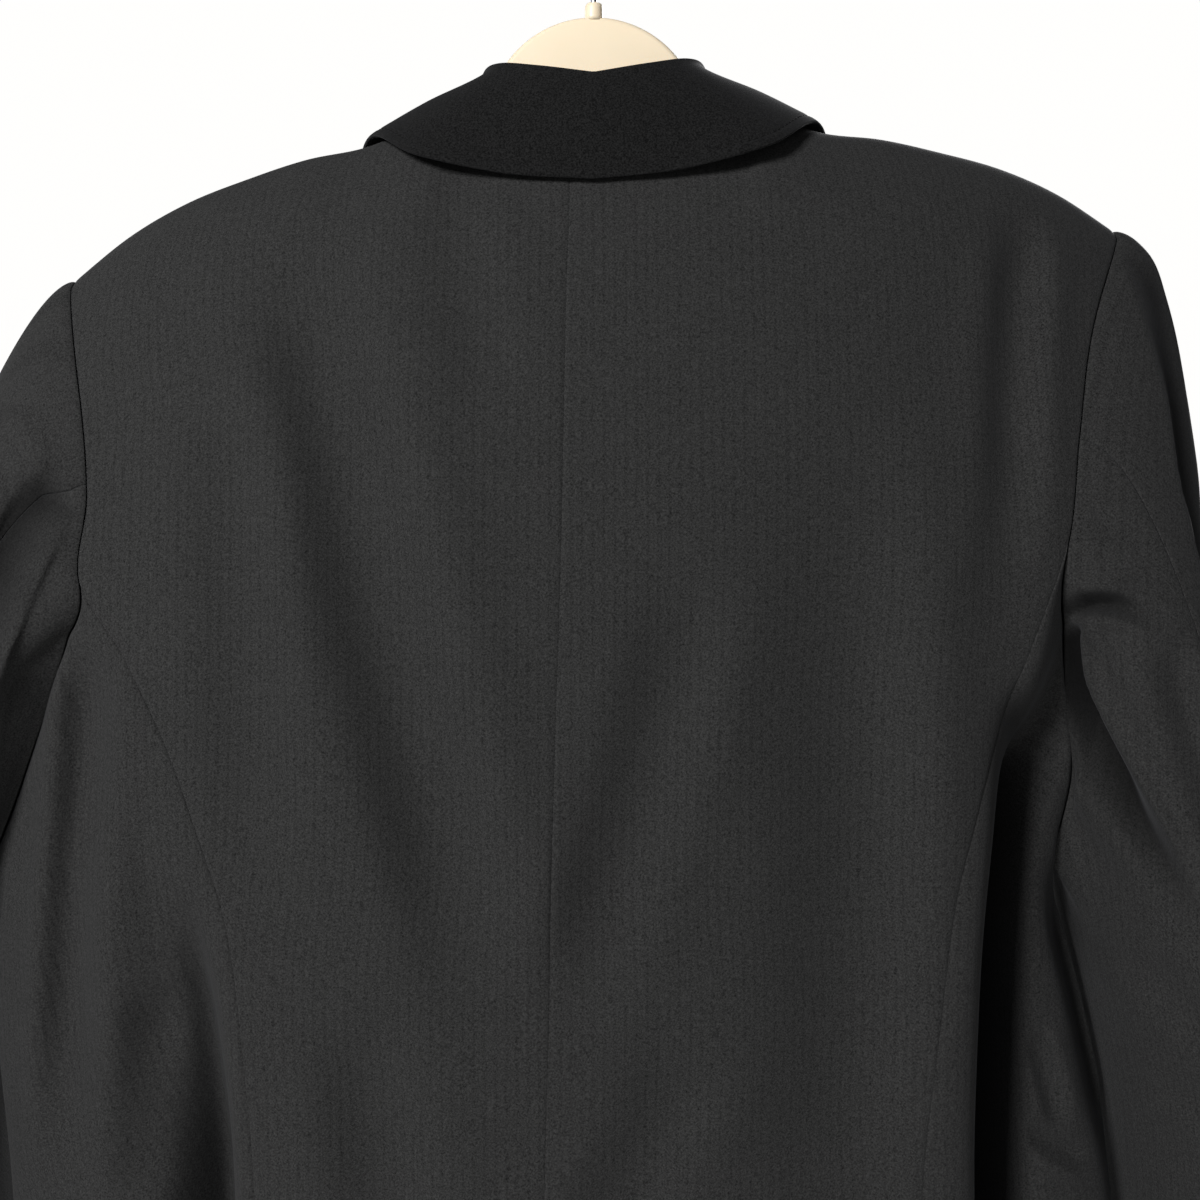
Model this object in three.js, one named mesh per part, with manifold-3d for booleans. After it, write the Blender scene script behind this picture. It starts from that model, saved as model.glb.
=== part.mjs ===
// A black single-breasted blazer on a plastic coat hanger, hung by the hanger's wire hook.
// Millimetres. The origin is where a rail bears inside the top of the hook. +Z is up, the garment's front
// faces -Y and its left side is +X. Heights called h are measured from the nape, the middle of the back neck seam.
import * as THREE from "three";
import { mergeVertices } from "three/addons/utils/BufferGeometryUtils.js";
import Module from "manifold-3d";

const wasm = await Module();
wasm.setup();

// Driving sizes
const NAPE_DROP = 138; // the nape hangs this far below the hook's bearing point
const BACK_LENGTH = 729; // nape to hem
const SHOULDER = 236; // half the width between the armhole seams at the shoulder tips
const NECK_HALF = 68; // half the width of the neckline at the shoulder seam
const NECK_RISE = 27; // the neckline's shoulder point above the nape
const NECK_DEPTH = 40; // the nape behind the shoulder point
const WALL = 1.6; // cloth with its fusing and lining
const COLLAR_WALL = 1.8;
const LAPEL_WALL = 1.4;
const SEAM_GAP = 0.5;
const ARMHOLE_GAP = 1; // the sleeve's edge stands this far outside the armhole's
const SHOULDER_ROUND = 55; // height over which the back and front round over to the shoulder seam
const UNDERARM_ROUND = 70; // height over which the side panel leaves the armhole's curve
const SEAM_START = -172; // where the side-back and side-front seams leave the armhole
const OVERLAP = 20; // each front passes the centre by this much
const UNDER_STEP = 7; // the left front lies this far inside the right one where they overlap
const CUFF_H = -642;
const CAP_END_H = -352; // below this the sleeve is a plain tube

const CLOTH = { color: 0x17181a, roughness: 0.9, metalness: 0 };
const HANGER_PLASTIC = { color: 0xf3d3a6, roughness: 0.45, metalness: 0 };
const WIRE_STEEL = { color: 0x9aa0ab, roughness: 0.3, metalness: 0.9 };
const BUTTON_PLASTIC = { color: 0x121214, roughness: 0.35, metalness: 0 };

// The shoulder seam, from the neck to the tip
const SHOULDER_SEAM = [
  { x: 0, h: 30, y: 0 },
  { x: 68, h: 27, y: 0 },
  { x: 101, h: 16.5, y: -1 },
  { x: 128, h: 13, y: -3 },
  { x: 155, h: 6.5, y: -5 },
  { x: 182, h: -1.5, y: -7 },
  { x: 209, h: -14, y: -9 },
  { x: 236, h: -32, y: -11 },
];

// The centre back seam: its sideways drift to the left, and its depth
const CENTRE_BACK = [
  { h: 0, drift: 10, y: 40 },
  { h: -25, drift: 10, y: 48 },
  { h: -60, drift: 11, y: 56 },
  { h: -120, drift: 12, y: 64 },
  { h: -172, drift: 13, y: 67 },
  { h: -240, drift: 15, y: 68 },
  { h: -318, drift: 17, y: 66 },
  { h: -365, drift: 18, y: 63 },
  { h: -440, drift: 20, y: 61 },
  { h: -560, drift: 21, y: 67 },
  { h: -729, drift: 22, y: 75 },
];

// The front's inner edge (the roll line down to the break, then the overlap's edge) and its depth
const CENTRE_FRONT = [
  { h: 27, x: 67, y: 0 },
  { h: 0, x: 62, y: -20 },
  { h: -60, x: 50, y: -44 },
  { h: -150, x: 32, y: -60 },
  { h: -250, x: 9, y: -68 },
  { h: -345, x: -15, y: -73 },
  { h: -380, x: -20, y: -74 },
  { h: -440, x: -20, y: -76 },
  { h: -560, x: -20, y: -81 },
  { h: -660, x: -19, y: -85 },
  { h: -700, x: -8, y: -87 },
  { h: -729, x: 22, y: -88 },
];

// Each side's back edge (armhole, then side-back seam) and front edge (armhole, then side-front seam)
const BACK_EDGE = {
  left: [
    { h: -37, x: 236, y: 8 },
    { h: -90, x: 222, y: 24 },
    { h: -136, x: 214.5, y: 36 },
    { h: -172, x: 215, y: 43 },
    { h: -204, x: 195, y: 48 },
    { h: -240, x: 177, y: 52 },
    { h: -287, x: 160, y: 54 },
    { h: -318, x: 151, y: 54 },
    { h: -365, x: 145, y: 53 },
    { h: -440, x: 140, y: 50 },
    { h: -560, x: 142, y: 53 },
    { h: -729, x: 152, y: 59 },
  ],
  right: [
    { h: -37, x: 236, y: 8 },
    { h: -80, x: 217, y: 21 },
    { h: -129, x: 206, y: 35 },
    { h: -172, x: 199, y: 43 },
    { h: -204, x: 187, y: 47 },
    { h: -240, x: 172, y: 50 },
    { h: -287, x: 157, y: 51 },
    { h: -318, x: 149, y: 50 },
    { h: -365, x: 143, y: 49 },
    { h: -440, x: 136, y: 48 },
    { h: -560, x: 140, y: 52 },
    { h: -729, x: 151, y: 59 },
  ],
};
const FRONT_EDGE = [
  { h: -37, x: 236, y: -18 },
  { h: -90, x: 213, y: -31 },
  { h: -136, x: 199, y: -41 },
  { h: -172, x: 193, y: -47 },
  { h: -240, x: 190, y: -55 },
  { h: -318, x: 185, y: -61 },
  { h: -365, x: 181, y: -65 },
  { h: -440, x: 178, y: -69 },
  { h: -560, x: 183, y: -75 },
  { h: -729, x: 194, y: -83 },
];

// The lower armhole, where the side panel begins: a row for each station from the side-back to the side-front seam
const UNDERARM = {
  left: [
    { x: 215, y: 43, h: -172 },
    { x: 222, y: 37, h: -194 },
    { x: 234, y: 29, h: -224 },
    { x: 250, y: 18, h: -258 },
    { x: 270, y: -2, h: -298 },
    { x: 240, y: -32, h: -262 },
    { x: 193, y: -47, h: -172 },
  ],
  right: [
    { x: 199, y: 43, h: -172 },
    { x: 201, y: 30, h: -208 },
    { x: 206, y: 17, h: -244 },
    { x: 212, y: 6, h: -280 },
    { x: 204, y: -9, h: -318 },
    { x: 204, y: -34, h: -270 },
    { x: 193, y: -47, h: -172 },
  ],
};

// The side panel's sections between its seams: the fold's ridge, the valley behind it, the strip that shows
// beyond the valley, the widest point of the side, and the turn to the front
const SIDE_SECTIONS = {
  left: [
    { h: -172, ridgeX: 218, ridgeY: 41, valleyX: 222, valleyY: 38, stripX: 228, stripY: 32, sideX: 238, sideY: 8, turnX: 224, turnY: -36 },
    { h: -240, ridgeX: 188, ridgeY: 50, valleyX: 201, valleyY: 47, stripX: 224, stripY: 41, sideX: 256, sideY: 6, turnX: 234, turnY: -42 },
    { h: -318, ridgeX: 163, ridgeY: 51, valleyX: 179, valleyY: 43, stripX: 213, stripY: 41, sideX: 266, sideY: 2, turnX: 242, turnY: -48 },
    { h: -365, ridgeX: 154, ridgeY: 49, valleyX: 170, valleyY: 32, stripX: 204, stripY: 38, sideX: 268, sideY: 0, turnX: 242, turnY: -52 },
    { h: -440, ridgeX: 149, ridgeY: 44, valleyX: 165, valleyY: 10, stripX: 196, stripY: 32, sideX: 262, sideY: -2, turnX: 238, turnY: -55 },
    { h: -560, ridgeX: 151, ridgeY: 47, valleyX: 166, valleyY: 4, stripX: 196, stripY: 30, sideX: 258, sideY: -4, turnX: 236, turnY: -60 },
    { h: -729, ridgeX: 162, ridgeY: 53, valleyX: 178, valleyY: 20, stripX: 210, stripY: 34, sideX: 266, sideY: -6, turnX: 244, turnY: -66 },
  ],
  right: [
    { h: -172, ridgeX: 200, ridgeY: 41, valleyX: 201, valleyY: 34, stripX: 204, stripY: 26, sideX: 208, sideY: 6, turnX: 203, turnY: -36 },
    { h: -240, ridgeX: 182, ridgeY: 44, valleyX: 188, valleyY: 4, stripX: 203, stripY: 12, sideX: 213, sideY: -6, turnX: 206, turnY: -44 },
    { h: -318, ridgeX: 166, ridgeY: 42, valleyX: 172, valleyY: -16, stripX: 193, stripY: 8, sideX: 213, sideY: -10, turnX: 208, turnY: -50 },
    { h: -365, ridgeX: 162, ridgeY: 40, valleyX: 172, valleyY: -22, stripX: 193, stripY: 6, sideX: 221, sideY: -12, turnX: 212, turnY: -54 },
    { h: -440, ridgeX: 160, ridgeY: 39, valleyX: 171, valleyY: -20, stripX: 193, stripY: 6, sideX: 236, sideY: -14, turnX: 220, turnY: -58 },
    { h: -560, ridgeX: 163, ridgeY: 44, valleyX: 176, valleyY: -8, stripX: 199, stripY: 9, sideX: 242, sideY: -14, turnX: 226, turnY: -62 },
    { h: -729, ridgeX: 173, ridgeY: 52, valleyX: 188, valleyY: 10, stripX: 212, stripY: 18, sideX: 252, sideY: -12, turnX: 236, turnY: -68 },
  ],
};

// The sleeve's tube below the cap: centre, half width across the arm, half depth front to back
const SLEEVE_SECTIONS = {
  left: [
    { h: -352, x: 309, y: -10, halfWidth: 33, halfDepth: 68 },
    { h: -440, x: 308, y: -14, halfWidth: 33, halfDepth: 66 },
    { h: -520, x: 303, y: -26, halfWidth: 31, halfDepth: 61 },
    { h: -590, x: 296, y: -44, halfWidth: 29, halfDepth: 56 },
    { h: -642, x: 290, y: -58, halfWidth: 27, halfDepth: 53 },
  ],
  right: [
    { h: -352, x: 258, y: -10, halfWidth: 33, halfDepth: 66 },
    { h: -440, x: 276, y: -14, halfWidth: 33, halfDepth: 65 },
    { h: -520, x: 281, y: -26, halfWidth: 31, halfDepth: 60 },
    { h: -590, x: 279, y: -44, halfWidth: 29, halfDepth: 56 },
    { h: -642, x: 277, y: -58, halfWidth: 27, halfDepth: 53 },
  ],
};
const SLEEVE_LEAN = 14; // how far the back of the tube is set out from its middle, and its front in
const CAP_LIFT = { left: 80, right: 125 }; // how strongly the sleeve head springs out of the armhole

// The collar, from the centre back to its front end: the neck seam, the roll line's top and the fall's edge
const COLLAR_SECTIONS = [
  { at: 0.0, seamX: 0, seamY: 40, seamH: 0.35, rollX: 0, rollY: 34, rollH: 35, edgeX: 0, edgeY: 47, edgeH: -14 },
  { at: 0.16, seamX: 30, seamY: 36, seamH: 3.4, rollX: 24, rollY: 30, rollH: 40, edgeX: 38, edgeY: 45.5, edgeH: -10 },
  { at: 0.3, seamX: 52, seamY: 25.5, seamH: 11.6, rollX: 41, rollY: 18, rollH: 46, edgeX: 76, edgeY: 41, edgeH: 1 },
  { at: 0.42, seamX: 65.2, seamY: 8, seamH: 22.6, rollX: 49, rollY: 3, rollH: 48, edgeX: 98, edgeY: 12, edgeH: 19.4 },
  { at: 0.54, seamX: 64.5, seamY: -12, seamH: 14, rollX: 52, rollY: -14, rollH: 42, edgeX: 108, edgeY: -18, edgeH: 14.7 },
  { at: 0.76, seamX: 57, seamY: -35, seamH: -20, rollX: 50, rollY: -38, rollH: 8, edgeX: 110, edgeY: -43, edgeH: -18 },
  { at: 1.0, seamX: 52, seamY: -52, seamH: -44, rollX: 46, rollY: -54, rollH: -30, edgeX: 108, edgeY: -56, edgeH: -50 },
];
const NOTCH_DIP = 17; // the collar's front end dips to the gorge before it rises to its tip

// The lapel's outer edge, from the break up to its tip
const LAPEL_EDGE = [
  { at: 0, x: -13, h: -342 },
  { at: 0.2, x: 20, h: -298 },
  { at: 0.45, x: 60, h: -232 },
  { at: 0.75, x: 98, h: -150 },
  { at: 1, x: 117, h: -92 },
];
const LAPEL_TOP_H = -52; // where the gorge meets the roll line
const LAPEL_REST = 2.6; // the lapel's outer face above the front's, where it lies flat
const LAPEL_ROLL = 4; // how much more it stands off along the roll

const BUTTON_HEIGHTS = [-362, -457, -552];
const BUTTON_RADIUS = 10.5;
const BUTTON_THICK = 3.4;

// The hanger: a round plate at the neck, arms under the shoulders, a stem and a wire hook
const PLATE_RADIUS = 48;
const PLATE_H = 24;
const PLATE_THICK = 7;
const ARM_REACH = 198;
const ARM_HEIGHT = 24;
const ARM_THICK = 12;
const STEM_RADIUS = 4.1;
const STEM_SUNK = 4; // how far the stem's foot goes down into the plate
const STEM_TOP_H = 78.2;
const WIRE_RADIUS = 1.6;
const HOOK_RADIUS = 21;

const tilt = (x) => -(0.02 * x + 0.00012 * x * Math.abs(x)); // the left shoulder hangs lower
const clamp01 = (t) => Math.min(1, Math.max(0, t));
const ease = (t) => clamp01(t) * clamp01(t) * (3 - 2 * clamp01(t));
const roundOver = (t) => Math.sqrt(1 - (1 - clamp01(t)) ** 2);

// A smooth curve through one column of a table, against another column.
function column(rows, by, key) {
  const sorted = [...rows].sort((a, b) => a[by] - b[by]);
  const xs = sorted.map((r) => r[by]);
  const ys = sorted.map((r) => r[key]);
  const last = xs.length - 1;
  const slope = xs.map((_, i) => {
    const a = Math.max(0, i - 1);
    const b = Math.min(last, i + 1);
    return (ys[b] - ys[a]) / (xs[b] - xs[a]);
  });
  return (x) => {
    if (x <= xs[0]) return ys[0];
    if (x >= xs[last]) return ys[last];
    let i = 0;
    while (x > xs[i + 1]) i++;
    const span = xs[i + 1] - xs[i];
    const t = (x - xs[i]) / span;
    const bend = t * (t - 1) * span;
    return ys[i] + (ys[i + 1] - ys[i]) * t * t * (3 - 2 * t) + bend * ((t - 1) * slope[i] + t * slope[i + 1]);
  };
}

const columns = (rows, by, keys) => Object.fromEntries(keys.map((k) => [k, column(rows, by, k)]));
const ridge = columns(SHOULDER_SEAM, "x", ["h", "y"]);
const centreBack = columns(CENTRE_BACK, "h", ["drift", "y"]);
const centreFront = columns(CENTRE_FRONT, "h", ["x", "y"]);
const frontEdge = columns(FRONT_EDGE, "h", ["x", "y"]);
const SECTION_KEYS = ["ridgeX", "ridgeY", "valleyX", "valleyY", "stripX", "stripY", "sideX", "sideY", "turnX", "turnY"];

function makeSide(name, sign) {
  const backEdge = columns(BACK_EDGE[name], "h", ["x", "y"]);
  const section = columns(SIDE_SECTIONS[name], "h", SECTION_KEYS);
  const sleeve = columns(SLEEVE_SECTIONS[name], "h", ["x", "y", "halfWidth", "halfDepth"]);
  return { name, sign, backEdge, section, sleeve, underarm: UNDERARM[name], capLift: CAP_LIFT[name] };
}

// A point of one side of the garment, from its distance out from the middle, depth and height from the nape.
function place(side, x, y, h) {
  const across = side.sign * x;
  return new THREE.Vector3(across, y, h - NAPE_DROP + tilt(across));
}

// Rows down a panel: some between its top edge and the level where the side seams start, then the rest to the hem.
const UPPER_ROWS = [0, 0.012, 0.05, 0.13, 0.26, 0.45, 0.7, 1];
const LOWER_ROWS = [0, 0.05, 0.11, 0.18, 0.26, 0.35, 0.47, 0.6, 0.74, 0.88, 1];
const PANEL_ROWS = [...UPPER_ROWS.slice(0, -1).map((t) => t / 2), ...LOWER_ROWS.map((t) => (1 + t) / 2)];
const levelOf = (top, v) =>
  v < 0.5 ? top + (SEAM_START - top) * v * 2 : SEAM_START + (-BACK_LENGTH - SEAM_START) * (v * 2 - 1);

// The back panel: u runs from the centre back seam to the armhole and side-back seam, v from the top edge to the hem.
function backAt(side, u, v) {
  const topX = side.sign * centreBack.drift(0) * (1 - u) + SHOULDER * u;
  const neck = Math.abs(topX) / NECK_HALF;
  const onNeck = neck < 1;
  const neckRound = onNeck ? Math.sqrt(1 - neck * neck) : 0;
  const topH = onNeck ? NECK_RISE * (1 - neckRound) : ridge.h(topX);
  const topY = onNeck ? ridge.y(0) + NECK_DEPTH * neckRound : ridge.y(topX);
  const h = levelOf(topH, v);
  const middle = side.sign * centreBack.drift(h);
  const x = middle + u * (side.backEdge.x(h) - middle);
  const y = centreBack.y(h) + (side.backEdge.y(h) - centreBack.y(h)) * u ** 2.2;
  const over = roundOver((topH - h) / SHOULDER_ROUND);
  return place(side, x, topY + (y - topY) * over, h);
}

// The front panel: u runs from the roll line and overlap edge to the armhole and side-front seam.
function frontAt(side, u, v) {
  const topX = NECK_HALF + (SHOULDER - NECK_HALF) * u;
  const topH = ridge.h(topX);
  const h = levelOf(topH, v);
  const inner = centreFront.x(h);
  const x = inner + u * (frontEdge.x(h) - inner);
  const chest = 7 * Math.exp(-(((h + 235) / 90) ** 2)) * Math.sin(Math.PI * u);
  const under = side.sign > 0 ? UNDER_STEP * (1 - ease((x - OVERLAP) / 45)) * ease(-(h + 200) / 70) : 0;
  const y = centreFront.y(h) + (frontEdge.y(h) - centreFront.y(h)) * u * u - chest + under;
  const over = roundOver((topH - h) / SHOULDER_ROUND);
  const topY = ridge.y(topX) - SEAM_GAP;
  return place(side, topX + (x - topX) * over, topY + (y - topY) * over, h);
}

// A point at share t through a row of points, on a Catmull-Rom curve.
function through(points, t) {
  const last = points.length - 1;
  const i = Math.min(last - 1, Math.floor(t * last));
  const f = t * last - i;
  const p = [i - 1, i, i + 1, i + 2].map((k) => points[Math.min(last, Math.max(0, k))]);
  return p[0].map((_, k) => {
    const [a, b, c, d] = p.map((q) => q[k]);
    return b + 0.5 * f * (c - a + f * (2 * a - 5 * b + 4 * c - d + f * (3 * (b - c) + d - a)));
  });
}

// The side panel: u runs from the side-back seam to the side-front seam, v from the lower armhole to the hem.
function sideAt(side, u, v) {
  const [topX, topY, topH] = through(side.underarm.map((p) => [p.x, p.y, p.h]), u);
  const h = topH + (-BACK_LENGTH - topH) * v;
  const s = side.section;
  const stations = [
    [side.backEdge.x(h), side.backEdge.y(h)],
    [s.ridgeX(h), s.ridgeY(h)],
    [s.valleyX(h), s.valleyY(h)],
    [s.stripX(h), s.stripY(h)],
    [s.sideX(h), s.sideY(h)],
    [s.turnX(h), s.turnY(h)],
    [frontEdge.x(h), frontEdge.y(h)],
  ];
  const [x, y] = through(stations, u);
  const seam = Math.min(1, Math.min(u, 1 - u) * 6); // on the seams the panel follows them exactly
  const leave = roundOver((topH - h) / UNDERARM_ROUND);
  const share = 1 - seam * (1 - leave);
  return place(side, topX + (x - topX) * share, topY + (y - topY) * share, h);
}

// The armhole's seam as a closed ring of points, from the shoulder tip down the back, under the arm and up the front.
const SIDE_COLUMNS = 16;
function armholeRing(side) {
  const upper = UPPER_ROWS.map((t) => t / 2);
  const back = upper.map((v) => backAt(side, 1, v));
  const under = Array.from({ length: SIDE_COLUMNS - 1 }, (_, i) => sideAt(side, (i + 1) / SIDE_COLUMNS, 0));
  const front = upper.slice(1).reverse().map((v) => frontAt(side, 1, v));
  return [...back, ...under, ...front, back[0].clone()];
}

// Where each ring point belongs round the sleeve: 0 at the shoulder tip, half a turn at the underarm.
function ringTurns(ring) {
  const lowest = ring.reduce((best, p, i) => (p.z < ring[best].z ? i : best), 0);
  const run = [0];
  for (let i = 1; i < ring.length; i++) run.push(run[i - 1] + ring[i].distanceTo(ring[i - 1]));
  const whole = run[run.length - 1];
  const half = run[lowest];
  return run.map((d) => (d <= half ? (0.5 * d) / half : 0.5 + (0.5 * (d - half)) / (whole - half)));
}

// The sleeve's tube below the cap at a given turn round it.
function tubeAt(side, turn, h) {
  const s = side.sleeve;
  const x = s.x(h) + s.halfWidth(h) * Math.cos(turn) + SLEEVE_LEAN * Math.sin(turn);
  return place(side, x, s.y(h) + s.halfDepth(h) * Math.sin(turn), h);
}

// The sleeve: r counts along the armhole ring, t runs from the armhole (0) to the end of the cap (1) and the cuff (2).
function sleeveAt(side, ring, turns, r, t) {
  const i = Math.min(ring.length - 2, Math.floor(r));
  const f = r - i;
  const start = ring[i].clone().lerp(ring[i + 1], f);
  start.x += side.sign * ARMHOLE_GAP;
  const turn = 2 * Math.PI * (turns[i] + (turns[i + 1] - turns[i]) * f);
  const h = t < 1 ? CAP_END_H : CAP_END_H + (CUFF_H - CAP_END_H) * (t - 1);
  const end = tubeAt(side, turn, h);
  if (t >= 1) return end;
  const crown = (1 + Math.cos(turn)) / 2;
  const lift = 16 + side.capLift * crown ** 1.3;
  const out = new THREE.Vector3(side.sign * lift, 0.14 * lift * Math.sin(turn), -6 * crown);
  const down = tubeAt(side, turn, CAP_END_H - 1).sub(tubeAt(side, turn, CAP_END_H));
  down.multiplyScalar(0.95 * start.distanceTo(end));
  const [t2, t3] = [t * t, t * t * t];
  return start
    .multiplyScalar(2 * t3 - 3 * t2 + 1)
    .addScaledVector(out, t3 - 2 * t2 + t)
    .addScaledVector(end, 3 * t2 - 2 * t3)
    .addScaledVector(down, t3 - t2);
}

// The collar: c runs from the left front end (-1) round the back of the neck (0) to the right front end (1),
// b from the neck seam up the stand, over the roll and down the fall to its edge.
const COLLAR_KEYS = ["seamX", "seamY", "seamH", "rollX", "rollY", "rollH", "edgeX", "edgeY", "edgeH"];
const collarSection = columns(COLLAR_SECTIONS, "at", COLLAR_KEYS);
const ROLL_HALF = 3.4; // half the thickness of the folded collar at its roll
function collarAt(c, b) {
  const side = c < 0 ? LEFT : RIGHT;
  const s = Object.fromEntries(COLLAR_KEYS.map((k) => [k, collarSection[k](Math.abs(c))]));
  const out = new THREE.Vector2(s.edgeX - s.seamX, s.edgeY - s.seamY).normalize();
  const bulge = 3.5;
  const mid = [(s.rollX + s.edgeX) / 2, (s.rollY + s.edgeY) / 2, (s.rollH + s.edgeH) / 2];
  const lift = bulge * Math.max(0, 1 - 2 * Math.abs(c));
  const stations = [
    [s.seamX, s.seamY, s.seamH],
    [s.rollX - ROLL_HALF * out.x, s.rollY - ROLL_HALF * out.y, s.rollH - 5],
    [s.rollX, s.rollY, s.rollH],
    [s.rollX + ROLL_HALF * out.x, s.rollY + ROLL_HALF * out.y, s.rollH - 4],
    [mid[0] + lift * out.x, mid[1] + lift * out.y, mid[2] + lift * 0.8],
    [s.edgeX, s.edgeY, s.edgeH],
  ];
  const [x, y, h] = through(stations, b);
  const frontEnd = ease((Math.abs(c) - 0.8) / 0.2);
  const fall = clamp01((b - 0.4) / 0.6);
  const dip = NOTCH_DIP * frontEnd * Math.sin(Math.PI * fall ** 0.8);
  return place(side, x, y, h - dip);
}

// The lapel: a runs from the break up to the gorge, b from the roll line out to the edge. It lies on the front panel.
const lapelEdge = columns(LAPEL_EDGE, "at", ["x", "h"]);
function lapelAt(side, a, b) {
  const rollH = LAPEL_EDGE[0].h + (LAPEL_TOP_H - LAPEL_EDGE[0].h) * a;
  const rollX = centreFront.x(rollH) + 0.6;
  const x = rollX + (lapelEdge.x(a) - rollX) * b;
  const h = rollH + (lapelEdge.h(a) - rollH) * b;
  const u = (x - centreFront.x(h)) / (frontEdge.x(h) - centreFront.x(h));
  const on = frontPointAt(side, clamp01(u), h);
  const stand = LAPEL_REST + LAPEL_ROLL * Math.exp(-(((b - 0.12) / 0.16) ** 2)) * (0.3 + 0.7 * a);
  return place(side, x, on.y - stand, h);
}

// The front panel at a given height, found by halving.
function frontPointAt(side, u, h) {
  let [low, high] = [0, 1];
  const target = h - NAPE_DROP;
  for (let i = 0; i < 30; i++) {
    const v = (low + high) / 2;
    const p = frontAt(side, u, v);
    if (p.z - tilt(p.x) > target) low = v;
    else high = v;
  }
  return frontAt(side, u, (low + high) / 2);
}

// The direction square to the surface at(u, v), on the side that facing (1 or -1) names.
const STEP = 1e-3;
function squareTo(at, facing, u, v, end = 1) {
  const across = at(u + STEP, v).sub(at(u - STEP, v));
  const down = at(u, Math.min(end, v + STEP)).sub(at(u, Math.max(0, v - STEP)));
  return across.cross(down).normalize().multiplyScalar(facing);
}

// A closed wall of cloth: its outer face is the grid at(u, v), its inner face lies one wall behind it.
function clothGeometry(us, vs, at, outward, wall) {
  const outer = [];
  const inner = [];
  for (const v of vs) {
    for (const u of us) {
      const p = at(u, v);
      outer.push(p);
      inner.push(p.clone().addScaledVector(outward(u, v), -wall));
    }
  }
  return closeWall(outer, inner, us.length, vs.length);
}

function closeWall(outer, inner, nu, nv) {
  const points = [...outer, ...inner].flatMap((p) => [p.x, p.y, p.z]);
  const index = [];
  const quad = (a, b, c, d) => index.push(a, b, c, a, c, d);
  const back = outer.length;
  for (let j = 0; j + 1 < nv; j++) {
    for (let i = 0; i + 1 < nu; i++) {
      const a = j * nu + i;
      quad(a, a + nu, a + nu + 1, a + 1);
      quad(back + a, back + a + 1, back + a + nu + 1, back + a + nu);
    }
  }
  const rim = [];
  for (let i = 0; i + 1 < nu; i++) rim.push([i + 1, i], [(nv - 1) * nu + i, (nv - 1) * nu + i + 1]);
  for (let j = 0; j + 1 < nv; j++) rim.push([j * nu, (j + 1) * nu], [(j + 2) * nu - 1, (j + 1) * nu - 1]);
  for (const [a, b] of rim) quad(b, a, back + a, back + b);
  const geometry = new THREE.BufferGeometry();
  geometry.setAttribute("position", new THREE.Float32BufferAttribute(points, 3));
  geometry.setIndex(signedVolume(points, index) < 0 ? index.reverse() : index);
  return geometry;
}

function signedVolume(points, index) {
  const at = (i) => new THREE.Vector3(...points.slice(3 * i, 3 * i + 3));
  let six = 0;
  for (let i = 0; i < index.length; i += 3) six += at(index[i]).dot(at(index[i + 1]).cross(at(index[i + 2])));
  return six / 6;
}

const range = (n, low = 0, high = 1) => Array.from({ length: n + 1 }, (_, i) => low + ((high - low) * i) / n);

function named(name, geometry, look) {
  const mesh = new THREE.Mesh(geometry, new THREE.MeshStandardMaterial(look));
  mesh.name = name;
  return mesh;
}

// The gap at a seam, as a share of a panel's width.
const inset = (width) => (0.5 * SEAM_GAP) / width;

// Both panels of a seam set their walls back along the same direction there, so the walls stay side by side.
function bodyPanels(side) {
  const square = { back: [backAt, 1], side: [sideAt, 1], front: [frontAt, -1] };
  const outward = (panel, u, v) => {
    const [at, facing] = square[panel];
    const x = side.sign * at(side, u, v).x;
    if (v < 1e-4 && x > NECK_HALF - 1) {
      const slope = ridge.h(x + 1) - ridge.h(x);
      return new THREE.Vector3(-side.sign * slope, 0, 1).normalize();
    }
    return squareTo((a, b) => at(side, a, b), facing * side.sign, u, v);
  };
  const shared = (panel, edge, v) =>
    outward(panel, 1, 0.5 + v / 2)
      .add(outward("side", edge, v))
      .normalize();
  const outer = (panel) => (u, v) => {
    const onSeam = u > 0.99 && v >= 0.5;
    return onSeam ? shared(panel, panel === "back" ? 0 : 1, v * 2 - 1) : outward(panel, u, v);
  };
  const outerSide = (u, v) => {
    if (u < 0.01) return shared("back", 0, v);
    return u > 0.99 ? shared("front", 1, v) : outward("side", u, v);
  };
  const back = range(9, inset(190), 1 - inset(190));
  const front = range(9, 0, 1 - inset(190));
  const sideColumns = range(SIDE_COLUMNS).map((u) => Math.min(1 - inset(230), Math.max(inset(230), u)));
  const rows = PANEL_ROWS.map((v) => Math.max(v, 2e-6));
  const panel = (name, us, vs, at, out) =>
    named(name + side.name, clothGeometry(us, vs, (u, v) => at(side, u, v), out, WALL), CLOTH);
  return [
    panel("back_", back, rows, backAt, outer("back")),
    panel("side_", sideColumns, LOWER_ROWS, sideAt, outerSide),
    panel("front_", front, rows, frontAt, outer("front")),
  ];
}

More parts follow.
